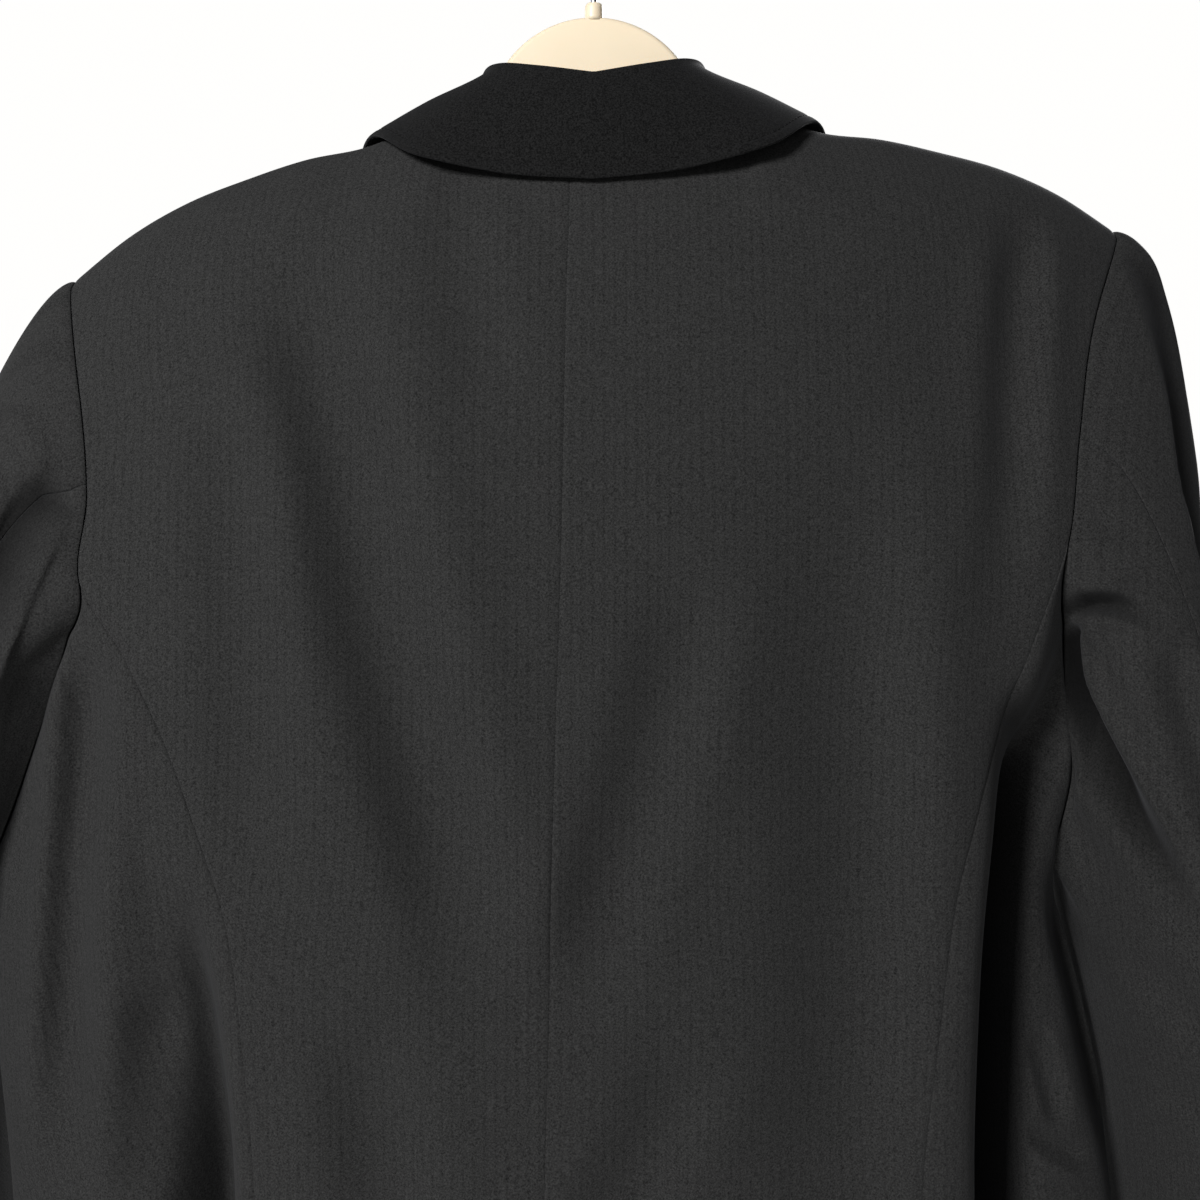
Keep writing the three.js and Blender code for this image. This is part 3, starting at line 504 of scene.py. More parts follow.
def sleeve_surface(side, r, t):
    """The sleeve: for each point of the armhole a cubic that springs out of it and ends, going straight
    down, on the tube below the underarm (t = 1). From there to the cuff (t = 2) it is an oval tube."""
    dense = np.linspace(0, WHOLE_TURN, 901)[:-1]
    ring = armhole(side, dense)
    run = np.concatenate([[0], np.cumsum(np.linalg.norm(np.diff(ring, axis=0), axis=1))])
    lowest = run[int(np.argmin(ring[:, 2]))]
    whole = run[-1] + np.linalg.norm(ring[0] - ring[-1])
    turns = np.where(run <= lowest, 0.5 * run / lowest, 0.5 + 0.5 * (run - lowest) / (whole - lowest))
    turn = 2 * np.pi * np.interp(r % WHOLE_TURN, np.append(dense, WHOLE_TURN), np.append(turns, 1))[None]
    start = armhole(side, r)[None] + np.array([SIGN[side] * ARMHOLE_GAP, 0, 0])
    t = t[:, None]
    h = np.where(t < 1, CAP_END_H, CAP_END_H + (CUFF_H - CAP_END_H) * (t - 1))
    tube = tube_points(side, turn, h)
    crown = (1 + np.cos(turn)) / 2
    lift = 16 + CAP_LIFT[side] * crown**1.3
    out = np.stack([SIGN[side] * lift, 0.14 * lift * np.sin(turn), -6 * crown], -1)
    end_step = tube_points(side, turn, CAP_END_H - 1.0) - tube_points(side, turn, CAP_END_H)
    down = 0.95 * np.linalg.norm(start - tube, axis=-1, keepdims=True) * end_step
    t = np.minimum(t, 1)[..., None]
    cap = start * (2 * t**3 - 3 * t**2 + 1) + out * (t**3 - 2 * t**2 + t)
    return cap + tube * (3 * t**2 - 2 * t**3) + down * (t**3 - t**2)


ROLL_ROUND = 3.4
FALL_SWELL = 3.5


def collar_surface(c, b):
    """The collar: at c, from the left front end (-1) round the nape (0) to the right one (1), a Catmull-Rom
    curve from the neck seam up the stand, over the roll and down the fall, which swells behind the nape, to
    its edge."""
    at = np.abs(c)
    s = {k: column(COLLAR_SECTIONS, "at", k, at) for k in COLLAR_COLUMNS.split()}
    out_x = s["edge_x"] - s["seam_x"]
    out_y = s["edge_y"] - s["seam_y"]
    size = np.hypot(out_x, out_y)
    out_x, out_y = out_x / size, out_y / size
    swell = FALL_SWELL * np.maximum(0, 1 - 2 * at)
    steps = {
        "x": (-ROLL_ROUND * out_x, ROLL_ROUND * out_x, swell * out_x),
        "y": (-ROLL_ROUND * out_y, ROLL_ROUND * out_y, swell * out_y),
        "h": (-5, -4, swell * 0.8),
    }
    curve = {}
    for k, (inner, outer, swelled) in steps.items():
        seam, roll, edge = s[f"seam_{k}"], s[f"roll_{k}"], s[f"edge_{k}"]
        middle = (roll + edge) / 2 + swelled
        curve[k] = through(np.stack([seam, roll + inner, roll, roll + outer, middle, edge]), b)
    x, y, h = curve["x"], curve["y"], curve["h"]
    dip = NOTCH_DIP * ease((at - 0.8) / 0.2) * np.sin(np.pi * np.clip((b - 0.4) / 0.6, 0, 1) ** 0.8)
    across = np.where(c < 0, x, -x)
    return np.stack([across, y, h - dip - NAPE_DROP + tilt(across)], -1)


def lapel_surface(side, a, b):
    """The lapel: from the roll line (b = 0) out to its edge (b = 1), lying on the front panel and standing
    off it in a soft roll near the roll line."""
    roll_h = LAPEL_EDGE["h"][0] + (LAPEL_TOP_H - LAPEL_EDGE["h"][0]) * a
    roll_x = column(CENTRE_FRONT, "h", "x", roll_h) + 0.6
    x = roll_x + (column(LAPEL_EDGE, "at", "x", a) - roll_x) * b
    h = roll_h + (column(LAPEL_EDGE, "at", "h", a) - roll_h) * b
    y = front_depth(side, x, h)
    stand = 2.6 + 4 * np.exp(-(((b - 0.12) / 0.16) ** 2)) * (0.3 + 0.7 * a)
    return place(side, x, y - stand, h)


def front_depth(side, x, h):
    """The depth of the front panel's outer face at x across and h up, found by halving v."""
    low, high = np.zeros_like(x), np.ones_like(x)
    for _ in range(26):
        v = (low + high) / 2
        inner = column(CENTRE_FRONT, "h", "x", h)
        u = np.clip((x - inner) / (column(FRONT_EDGE, "h", "x", h) - inner), 0, 1)
        p = front_surface(side, u, v)
        above = p[..., 2] - tilt(p[..., 0]) > h - NAPE_DROP
        low, high = np.where(above, v, low), np.where(above, high, v)
    return p[..., 1]


def spaced(length, step, start=True, end=True):
    """Shares of a length at an even step, with closer ones next to the ends rolled in at a seam."""
    near = np.array([0.35, 0.8, 1.4, 2.2, 3.2]) / length
    inner = np.linspace(0, 1, max(2, round(length / step)) + 1)
    keep = inner[(inner > 4.5 / length) & (inner < 1 - 4.5 / length)]
    first = near if start else inner[(inner > 0) & (inner <= 4.5 / length)]
    last = 1 - near[::-1] if end else inner[(inner < 1) & (inner >= 1 - 4.5 / length)]
    return np.concatenate([[0], first, keep, last, [1]])


def square_to(grid, facing):
    """Unit directions square to a grid of points: the cross product of its differences along both ways."""
    across = np.gradient(grid, axis=1)
    down = np.gradient(grid, axis=0)
    n = np.cross(across, down)
    return facing * n / np.maximum(np.linalg.norm(n, axis=-1, keepdims=True), 1e-9)


def run_along(grid, axis):
    """The distance walked along one way of a grid, from its first row or column."""
    step = np.linalg.norm(np.diff(grid, axis=axis), axis=-1)
    zero = np.zeros_like(np.take(step, [0], axis))
    return np.concatenate([zero, np.cumsum(step, axis=axis)], axis)


def roll_in(grid, facing, left=0.0, right=0.0, top=0.0, bottom=0.0, reach=1.1):
    """Edges turned in at seams: each point goes in by the edge's depth times exp(-distance / reach)."""
    along = run_along(grid, 1)
    down = run_along(grid, 0)
    inward = left * np.exp(-along / reach) + right * np.exp(-(along[:, -1:] - along) / reach)
    inward = inward + top * np.exp(-down / reach) + bottom * np.exp(-(down[-1:] - down) / reach)
    return grid - square_to(grid, facing) * inward[..., None]


def lapped(shares, width):
    """Shares stretched a quarter of a millimetre past each end, so that panels meet with no slit."""
    return shares * (1 + 0.5 / width) - 0.25 / width


CREASE_STEPS = 24


def creased(across, height, creases):
    """How far in each point goes, and the painted shade of its crease, from 0 to 1. Each crease is exp(-d^2)
    of the distance d from its curve over the width of that side, faded in and out along the curve, less a
    swell of d^4 exp(-d^2), highest at 1.4 widths out. Only creases deeper than they are wide get painted
    shade."""
    total = np.zeros_like(across)
    dark = np.zeros_like(across)
    for one in creases:
        stations = np.array(one["line"], float)[:, None]
        t = np.linspace(0, 1, CREASE_STEPS + 1)[:, None] + np.zeros(2)
        path = through(np.broadcast_to(stations, (len(stations), *t.shape)), t)
        start, step = path[:-1], np.diff(path, axis=0)
        from_x = across[..., None] - start[:, 0]
        from_h = height[..., None] - start[:, 1]
        share = np.clip((from_x * step[:, 0] + from_h * step[:, 1]) / (step**2).sum(1), 0, 1)
        gap = np.hypot(from_x - share * step[:, 0], from_h - share * step[:, 1])
        turned = from_x * step[:, 1] - from_h * step[:, 0]
        near = gap.argmin(-1)[..., None]
        gap, share, turned = (np.take_along_axis(each, near, -1)[..., 0] for each in (gap, share, turned))
        along = (near[..., 0] + share) / CREASE_STEPS
        first = turned < 0
        d = gap / np.where(first, *one["widths"])
        swell = 1.85 * np.where(first, *one["swells"]) * d**4
        fade = ease(along / one["fade"][0]) * ease((1 - along) / one["fade"][1])
        # Painted shade: how much deep narrow creases are darkened in the cloth's colour
        narrow = np.clip((one["depth"] / min(one["widths"]) - 1) / 1.5, 0, 1)
        total += one["depth"] * fade * (1 - swell) * np.exp(-(d**2))
        dark += narrow * fade * np.exp(-(d**2))
    return np.stack([total, np.minimum(dark, 1)])


def folded(grid, inward, behind, back_creases, front_creases):
    """The grid with the creases pressed in along the directions inward, those of the back by the share
    behind and those of the front by the rest, and the painted shade in them. All of it hangs on the place
    alone, so panels that meet stay together."""
    x = grid[..., 0]
    h = grid[..., 2] + NAPE_DROP - tilt(x)
    depth, dark = creased(x, h, back_creases) * behind + creased(x, h, front_creases) * (1 - behind)
    return grid + inward * depth[..., None], dark


def object_of(name, mesh):
    """An object of a mesh, smooth all over."""
    mesh.polygons.foreach_set("use_smooth", np.ones(len(mesh.polygons), bool))
    mesh.update()
    obj = bpy.data.objects.new(name, mesh)
    bpy.context.scene.collection.objects.link(obj)
    return obj


def hung_across(grid, middle=0.0):
    """Where each point lies across the cloth, in millimetres: the x of the column at the share middle, and
    from there the level distance walked along the row, so that the stripes match at the seams."""
    level = run_along(grid * np.array([1, 1, 0]), 1)
    start = round(middle * (grid.shape[1] - 1))
    way = np.sign(grid[-1, -1, 0] - grid[-1, 0, 0])
    return grid[:, start : start + 1, 0] + way * (level - level[:, start : start + 1])


def mesh_of(name, grid, facing, across, dark=None):
    """A mesh of quads on a grid of points in millimetres, its faces on the side that facing names, with a
    UV map of metres: across is given for each point, and down is the distance walked down the middle
    column. The painted shade of its creases, dark, is an attribute of its points named crease."""
    rows, cols = grid.shape[:2]
    i = np.arange(rows * cols).reshape(rows, cols)
    corners = np.stack([i[:-1, :-1], i[1:, :-1], i[1:, 1:], i[:-1, 1:]], -1).reshape(-1, 4)
    if facing > 0:
        corners = corners[:, ::-1]
    mesh = bpy.data.meshes.new(name)
    mesh.from_pydata((grid.reshape(-1, 3) * MM).tolist(), [], corners.tolist())
    along = across.ravel() * MM
    down = np.broadcast_to(run_along(grid, 0)[:, cols // 2, None], (rows, cols)).ravel() * MM
    # The crease attribute holds painted shade: how much the cloth's colour is darkened in deep narrow creases
    shade = mesh.attributes.new("crease", "FLOAT", "POINT")
    shade.data.foreach_set("value", np.zeros(rows * cols) if dark is None else dark.ravel())
    loops = np.zeros(len(mesh.loops), np.int32)
    mesh.loops.foreach_get("vertex_index", loops)
    uv = mesh.uv_layers.new(name="cloth")
    uv.data.foreach_set("uv", np.stack([along[loops], down[loops]], -1).ravel().astype(np.float32))
    return object_of(name, mesh)


def joined(name, *parts):
    """One object of several parts, each its points in millimetres and then its groups of faces."""
    points, faces, count = [], [], 0
    for own_points, *groups in parts:
        points.append(own_points)
        for group in groups:
            faces += (group + count).tolist()
        count += len(own_points)
    mesh = bpy.data.meshes.new(name)
    mesh.from_pydata((np.concatenate(points) * MM).tolist(), [], faces)
    return object_of(name, mesh)


DOME_ANGLES = (0.5, 1.1)


def tube(path, radius, sides):
    """A round bar along a path: rings square to it, kept from twisting by one fixed side direction, with
    domed ends of two smaller rings and a closing point."""
    ahead = np.gradient(path, axis=0)
    ahead /= np.linalg.norm(ahead, axis=1, keepdims=True)
    fixed = np.eye(3)[int(np.argmin(np.ptp(path, axis=0)))]
    first = np.cross(ahead, fixed)
    first /= np.linalg.norm(first, axis=1, keepdims=True)
    second = np.cross(ahead, first)
    angle = np.arange(sides) * 2 * np.pi / sides
    ring = first[:, None] * np.cos(angle)[None, :, None] + second[:, None] * np.sin(angle)[None, :, None]
    points = path[:, None] + ring * radius
    ends = []
    for end, way in ((0, -1), (-1, 1)):
        domes = [
            path[end] + way * ahead[end] * radius * math.sin(a) + ring[end] * radius * math.cos(a)
            for a in DOME_ANGLES
        ]
        ends.append(np.stack(domes[::-1] if end == 0 else domes))
    rows = np.concatenate([ends[0], points, ends[1]])
    tips = np.stack([path[0] - ahead[0] * radius, path[-1] + ahead[-1] * radius])
    n = len(rows)
    i = np.arange(n * sides).reshape(n, sides)
    j = np.roll(i, -1, 1)
    quads = np.stack([i[:-1], j[:-1], j[1:], i[1:]], -1).reshape(-1, 4)
    low = np.stack([np.full(sides, n * sides), j[0], i[0], i[0]], -1)
    high = np.stack([np.full(sides, n * sides + 1), i[-1], j[-1], j[-1]], -1)
    return np.concatenate([rows.reshape(-1, 3), tips]), quads, low[:, :3], high[:, :3]


def node_tree(name):
    """A new material, its nodes and its shader."""
    mat = bpy.data.materials.new(name)
    mat.use_nodes = True
    return mat, mat.node_tree, mat.node_tree.nodes["Principled BSDF"]


def add(tree, kind, settings=None, **inputs):
    """A node with its settings, whose inputs are values or other nodes' outputs. An input is named with _ for
    a space, or counted from i0."""
    node = tree.nodes.new(kind)
    for key, value in (settings or {}).items():
        setattr(node, key, value)
    for key, value in inputs.items():
        counted = key[0] == "i" and key[1:].isdigit()
        socket = node.inputs[int(key[1:]) if counted else key.replace("_", " ")]
        if isinstance(value, bpy.types.NodeSocket):
            tree.links.new(value, socket)
        else:
            socket.default_value = value
    return node


def maths(tree, operation, *values):
    """The result of one operation on values or other nodes' outputs."""
    inputs = {f"i{k}": value for k, value in enumerate(values)}
    return add(tree, "ShaderNodeMath", {"operation": operation}, **inputs).outputs[0]


def set_sockets(shader, **values):
    """Values for the shader's own sockets, named with _ for a space."""
    for key, value in values.items():
        shader.inputs[key.replace("_", " ")].default_value = value


def two_colours(tree, shader, share, first, second):
    """The shader's colour: the first where the share is 0, the second where it is 1, mixed between."""
    colours = {"i6": (*first, 1), "i7": (*second, 1)}
    mix = add(tree, "ShaderNodeMix", {"data_type": "RGBA"}, Factor=share, **colours)
    tree.links.new(mix.outputs[2], shader.inputs["Base Color"])


def relief(tree, shader, height, strength, distance):
    """Bumps on the shader's surface, from a height."""
    bump = add(tree, "ShaderNodeBump", Strength=strength, Distance=distance, Height=height)
    tree.links.new(bump.outputs[0], shader.inputs["Normal"])


# The bands of a wave texture are this far apart, in metres, at a scale of 1
WAVE_UNIT = 2 * math.pi / 20
STRIPE_WIDTH = 0.0044
TWILL_WIDTH = 0.0011
TWILL_ANGLE = math.radians(28)
# How much the painted shade in deep narrow creases darkens the cloth's colour at most
CREASE_SHADE = 0.8


def suiting(name, shade, stripe, fuzz):
    """Black wool suiting: a faint stripe and a half-width one down the cloth, a steep twill line, short
    uneven fibres and patches in the colour, with painted shade in deep narrow creases. The fibres and twill
    are also a low relief, and slanting cloth has a grey sheen. Each amount is added about the middle of its
    noise."""
    mat, tree, shader = node_tree(name)
    uv = add(tree, "ShaderNodeUVMap", {"uv_map": "cloth"}).outputs[0]
    bands = {"bands_direction": "X"}
    coarse, fine = WAVE_UNIT / STRIPE_WIDTH, WAVE_UNIT / TWILL_WIDTH
    wide = add(tree, "ShaderNodeTexWave", bands, Vector=uv, Scale=coarse, Distortion=0.4)
    narrow = add(tree, "ShaderNodeTexWave", bands, Vector=uv, Scale=2 * coarse)
    turned = add(tree, "ShaderNodeMapping", Vector=uv, Rotation=(0, 0, TWILL_ANGLE)).outputs[0]
    twill = add(tree, "ShaderNodeTexWave", bands, Vector=turned, Scale=fine, Distortion=2.5, Detail_Scale=1.0)
    where = add(tree, "ShaderNodeTexCoord").outputs["Object"]
    fibre = add(tree, "ShaderNodeTexNoise", Vector=where, Scale=1300.0, Detail=2.0, Roughness=0.7)
    patches = add(tree, "ShaderNodeTexNoise", Vector=uv, Scale=24.0, Detail=2.0)
    level = 0.5
    for source, amount in (
        (wide.outputs["Fac"], 0.08 * stripe),
        (narrow.outputs["Fac"], 0.05 * stripe),
        (twill.outputs["Fac"], 0.03),
        (fibre.outputs["Fac"], fuzz),
        (patches.outputs["Fac"], 0.08),
    ):
        level = maths(tree, "MULTIPLY_ADD", source, amount, maths(tree, "ADD", level, -0.5 * amount))
    # Painted shade: the crease attribute darkens the colour in deep narrow creases
    painted_shade_at = add(tree, "ShaderNodeAttribute", {"attribute_name": "crease"}).outputs["Fac"]
    level = maths(tree, "MULTIPLY", level, maths(tree, "MULTIPLY_ADD", painted_shade_at, -CREASE_SHADE, 1.0))
    two_colours(tree, shader, level, (0, 0, 0), [2 * c for c in shade])
    set_sockets(shader, Roughness=0.92, Specular_IOR_Level=0.12)
    set_sockets(shader, Sheen_Weight=0.05, Sheen_Roughness=0.55, Sheen_Tint=(0.55, 0.56, 0.6, 1))
    height = maths(tree, "MULTIPLY_ADD", twill.outputs["Fac"], 0.15, fibre.outputs["Fac"])
    relief(tree, shader, height, 0.35, 0.00025)
    return mat


def satin_lining():
    """Black satin: fine threads, ten times as long as wide, between two darks, with a soft gloss."""
    mat, tree, shader = node_tree("satin_lining")
    uv = add(tree, "ShaderNodeUVMap", {"uv_map": "cloth"}).outputs[0]
    long = add(tree, "ShaderNodeMapping", Vector=uv, Scale=(1, 0.1, 1)).outputs[0]
    thread = add(tree, "ShaderNodeTexNoise", Vector=long, Scale=2200.0).outputs[0]
    two_colours(tree, shader, thread, (0.012, 0.012, 0.014), (0.024, 0.024, 0.027))
    set_sockets(shader, Roughness=0.42, Anisotropic=0.4)
    return mat


def clouded(name, first, second, **noise):
    """A material whose colour is noise between two colours, in the object's own coordinates. Also its nodes,
    its shader and those coordinates."""
    mat, tree, shader = node_tree(name)
    where = add(tree, "ShaderNodeTexCoord").outputs["Object"]
    cloud = add(tree, "ShaderNodeTexNoise", Vector=where, **noise).outputs[0]
    two_colours(tree, shader, cloud, first, second)
    return mat, tree, shader, where


def sewing_thread():
    """Black thread with the fine light and dark of its twist."""
    mat, _, shader, _ = clouded("sewing_thread", (0.003,) * 3, (0.008,) * 3, Scale=3000.0)
    set_sockets(shader, Roughness=0.8, Specular_IOR_Level=0.15)
    return mat


def peach_plastic():
    """Moulded plastic in a pale peach, a little cloudy, with a fine low grain."""
    mat, tree, shader, where = clouded(
        "peach_plastic", (0.78, 0.66, 0.48), (0.84, 0.72, 0.54), Scale=35.0, Detail=3.0
    )
    set_sockets(shader, Roughness=0.38, Subsurface_Weight=0.15, Subsurface_Radius=(0.004, 0.003, 0.002))
    grain = add(tree, "ShaderNodeTexNoise", Vector=where, Scale=900.0, Detail=2.0).outputs[0]
    relief(tree, shader, grain, 0.08, 0.0002)
    return mat


def zinc_wire():
    """Drawn wire with a grey zinc coat."""
    mat, _, shader, _ = clouded("zinc_wire", (0.36, 0.39, 0.45), (0.58, 0.61, 0.67), Scale=260.0, Detail=4.0)
    set_sockets(shader, Metallic=1.0, Roughness=0.33)
    return mat


def button_plastic():
    """Black plastic with the brown clouds of horn."""
    noise = dict(Scale=160.0, Detail=5.0, Distortion=1.5)
    mat, _, shader, _ = clouded("button_plastic", (0.006, 0.006, 0.007), (0.045, 0.042, 0.04), **noise)
    set_sockets(shader, Roughness=0.28)
    return mat


BODY_CLOTH = suiting("black_suiting", (0.020, 0.020, 0.0198), 0.7, 1.6)
# The collar's suiting is the body's made about four times darker: painted shade on the collar
SHADED_COLLAR_CLOTH = suiting("collar_suiting_painted_shade", (0.0052, 0.0052, 0.0052), 0.5, 3.6)
LINING = satin_lining()
THREAD = sewing_thread()
PLASTIC = peach_plastic()
WIRE = zinc_wire()
BUTTON = button_plastic()


def wall(obj, thickness, cloth, facing_in=True):
    """Cloth with a wall behind its outer face, lined with satin."""
    obj.data.materials.append(cloth)
    obj.data.materials.append(LINING if facing_in else cloth)
    thicken = obj.modifiers.new("wall", "SOLIDIFY")
    thicken.thickness = thickness * MM
    thicken.offset = -1
    thicken.material_offset = 1
    thicken.material_offset_rim = 0


def garment_piece(obj, node):
    """A hung piece of cloth in the place of the part's node."""
    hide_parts(node)
    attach(obj, "root")


# The walls, each 0.1 mm thinner than the part's
BODY_WALL = 1.5
LAPEL_WALL = 1.3
COLLAR_WALL = 1.7

# How far the cloth rolls in at its seams
BODY_SEAM_ROLL = 0.8
SLEEVE_SEAM_ROLL = 0.4
SHOULDER_ROLL = 0.4
ARMHOLE_ROLL = 0.7

BODY_MIDDLE = -29.0
FRONT_LAP = 0.6


def body_folded(grid, back_creases, front_creases):
    """A body panel with its creases pressed in along the depth: forwards behind the body's middle, backwards
    before it, and eased over within 15 mm either way."""
    behind = ease((grid[..., 1] - BODY_MIDDLE) / 30 + 0.5)
    inward = (1 - 2 * behind)[..., None] * np.array([0, 1, 0])
    return folded(grid, inward, behind, back_creases, front_creases)


def body_piece(node, grid, facing, back_creases, flat, area, **rolls):
    """A body panel on a grid: creased, rolled in at its seams, lined and hung."""
    # dark is the painted shade of the creases, carried into the mesh
    grid, dark = body_folded(grid, back_creases, FRONT_CREASES)
    grid = roll_in(grid, facing, **rolls)
    piece = mesh_of(node + "_cloth", grid, facing, hung_across(grid), dark)
    wall(piece, BODY_WALL, BODY_CLOTH)
    garment_piece(piece, node)


BACK_WIDTH = 200
FRONT_WIDTH = 190
SIDE_WIDTH = 250


def body_panels(side):
    """The back, front and side panels of one side. Their rows lie closer at the shoulder, by a cosine, and
    their columns at the seams. The front laps the side panel by FRONT_LAP."""
    facing = SIGN[side]
    behind = BACK_CREASES + SIDE_CREASES
    top = 0.16 * (1 - np.cos(np.linspace(0, np.pi / 2, 22)))
    rows = np.concatenate([top, np.linspace(0.16, 0.5, 38)[1:], np.linspace(0.5, 1, 160)[1:]])
    seams = dict(left=BODY_SEAM_ROLL, right=BODY_SEAM_ROLL)
    back = back_surface(side, *np.meshgrid(lapped(spaced(BACK_WIDTH, 3.2), BACK_WIDTH), rows))
    body_piece("back_" + side, back, facing, behind, (0.26, 0.77), 0.137, **seams, top=SHOULDER_ROLL)

    across = spaced(FRONT_WIDTH, 3.6, start=False) * (1 + FRONT_LAP / FRONT_WIDTH)
    front = front_surface(side, *np.meshgrid(across, rows))
    rolls = dict(right=BODY_SEAM_ROLL, top=SHOULDER_ROLL)
    body_piece("front_" + side, front, -facing, (), (0.26, 0.77), 0.15, **rolls)

    down = np.concatenate([spaced(60, 2.5, end=False) * 0.12, np.linspace(0.12, 1, 150)[1:]])
    panel = side_surface(side, *np.meshgrid(lapped(spaced(SIDE_WIDTH, 2.4), SIDE_WIDTH), down))
    body_piece("side_" + side, panel, facing, behind, (0.26, 0.57), 0.115, **seams, top=ARMHOLE_ROLL)


SLEEVE_GIRTH = 318.0


def from_axis(side, grid):
    """How far each point lies from the tube's axis, outwards along X and back along Y, and the tube's half
    sizes there. Above the tube's top the axis stays where it is there."""
    h = grid[..., 2] + NAPE_DROP - tilt(grid[..., 0])
    x, y, half_width, half_depth = oval_at(side, h)
    return SIGN[side] * grid[..., 0] - x, grid[..., 1] - y, half_width, half_depth


def turned_across(side, grid):
    """Where each point lies across the sleeve's cloth, in millimetres: its angle round the tube's axis, as a
    share of the whole girth. So the stripes run straight down the sleeve."""
    out_x, out_y, half_width, half_depth = from_axis(side, grid)
    angle = np.arctan2(out_y / half_depth, out_x / half_width)
    return np.unwrap(np.unwrap(angle, axis=1), axis=0) * SLEEVE_GIRTH / (2 * np.pi)


CREASE_START = 9


def sleeve_folded(side, grid):
    """A sleeve piece with its creases pressed in, level, towards the tube's axis: those of the back behind it
    and those of the front before it, eased over within 15 mm either way. They grow to their whole depth
    within CREASE_START of the armhole."""
    out_x, out_y = from_axis(side, grid)[:2]
    inward = -np.stack([SIGN[side] * out_x, out_y, 0 * out_y], -1) / np.hypot(out_x, out_y)[..., None]
    inward *= ease(run_along(grid, 0) / CREASE_START)[..., None]
    behind = ease((out_y + 5) / 30 + 0.5)
    return folded(grid, inward, behind, SLEEVE_BACK_CREASES, SLEEVE_FRONT_CREASES)


def sleeve_pieces(side):
    """The top and under sleeve of one side. Their rows lie closer at the armhole, as t^1.2."""
    facing = SIGN[side]
    t = np.concatenate([np.linspace(0, 1, 118) ** 1.2, np.linspace(1, 2, 100)[1:]])
    shares = {
        "topsleeve_": (FRONT_SLEEVE_SEAM - WHOLE_TURN, BACK_SLEEVE_SEAM, (0.30, 0.63), 0.13),
        "undersleeve_": (BACK_SLEEVE_SEAM, FRONT_SLEEVE_SEAM, (0.22, 0.50), 0.07),
    }
    for name, (first, last, flat, area) in shares.items():
        r = first + (last - first) * spaced(220, 2.2)
        grid = sleeve_surface(side, r, t)
        across = turned_across(side, grid)
        # dark is the painted shade of the creases, carried into the mesh
        grid, dark = sleeve_folded(side, grid)
        grid = roll_in(grid, -facing, left=SLEEVE_SEAM_ROLL, right=SLEEVE_SEAM_ROLL, top=ARMHOLE_ROLL)
        piece = mesh_of(name + side + "_cloth", grid, -facing, across, dark)
        wall(piece, BODY_WALL, BODY_CLOTH)
        garment_piece(piece, name + side)


STITCH_LENGTH = 2.6
STITCH_GAP = 0.9
STITCH_RADIUS = 0.28
STITCH_SINK = 0.1
STITCH_BOW = 0.22


def stitch_row(path, square):
    """Stitches along a path: each is a short six-sided capsule of six rings, slightly bowed, lying on the
    cloth. square is the cloth's outward direction at each point of the path."""
    run = run_along(path[None], 1)[0]
    starts = np.arange(0, run[-1] - STITCH_LENGTH, STITCH_LENGTH + STITCH_GAP)
    shares = np.linspace(0, 1, 6)
    where = starts[:, None] + shares[None] * STITCH_LENGTH
    centre = np.stack([np.interp(where, run, path[:, k]) for k in range(3)], -1)
    up = np.stack([np.interp(where, run, square[:, k]) for k in range(3)], -1)
    ahead = np.gradient(centre, axis=1)
    ahead /= np.linalg.norm(ahead, axis=-1, keepdims=True)
    beside = np.cross(ahead, up)
    thick = STITCH_RADIUS * np.sqrt(np.clip(1 - (2 * shares - 1) ** 4, 0.02, 1))
    bow = -STITCH_SINK + STITCH_BOW * np.sin(np.pi * shares)
    angle = np.arange(6) * np.pi / 3
    ring = up[:, :, None] * np.sin(angle)[:, None] + beside[:, :, None] * np.cos(angle)[:, None]
    points = (centre + up * bow[:, None])[:, :, None] + ring * thick[:, None, None]
    count = len(starts)
    i = np.arange(count * 36).reshape(count, 6, 6)
    j = np.roll(i, -1, 2)
    quads = np.stack([i[:, :-1], i[:, 1:], j[:, 1:], j[:, :-1]], -1).reshape(-1, 4)
    caps = np.concatenate([i[:, 0, :], i[:, -1, ::-1]])
    return points.reshape(-1, 3), quads, caps


def hard_piece(name, node, material, slot, *parts):
    """A piece that keeps its shape, of one material, in the place of the part's node."""
    obj = joined(name, *parts)
    obj.data.materials.append(material)
    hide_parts(node)
    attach(obj, "root")


def stitching(name, *rows):
    """One object of rows of sewing thread."""
    obj = joined(name, *rows)
    obj.data.materials.append(THREAD)
    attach(obj, "root")


STITCH_IN = 5.0
GROOVE_DEPTH = 0.45
GROOVE_WIDTH = 0.9
EDGE_ROLL = 0.7
EDGE_REACH = 1.2


def collar():
    """The collar, with a groove where it is stitched, exp(-d^2) of the distance from the stitches over
    GROOVE_WIDTH, and an edge turned in by exp(-distance / EDGE_REACH)."""
    fall = np.concatenate([np.linspace(0, 0.9, 64), np.linspace(0.9, 1, 18)[1:]])
    c, b = np.meshgrid(np.linspace(-1, 1, 190), fall)
    grid = collar_surface(c, b)
    down = run_along(grid, 0)
    from_edge = down[-1:] - down
    along = run_along(grid, 1)
    ends = np.minimum(along, along[:, -1:] - along)
    from_stitches = np.minimum(from_edge, ends + 100 * (b < 0.45)) - STITCH_IN
    groove = GROOVE_DEPTH * np.exp(-((from_stitches / GROOVE_WIDTH) ** 2))
    out = square_to(grid, -1)
    grid = grid - out * (groove + EDGE_ROLL * np.exp(-from_edge / EDGE_REACH))[..., None]
    piece = mesh_of("collar_cloth", grid, -1, hung_across(grid, 0.5))
    wall(piece, COLLAR_WALL, SHADED_COLLAR_CLOTH, facing_in=False)
    garment_piece(piece, "collar")
    index = np.argmin(np.abs(from_edge - STITCH_IN), axis=0)
    cols = np.arange(grid.shape[1])
    stitching("collar_stitching", stitch_row(grid[index, cols], out[index, cols]))


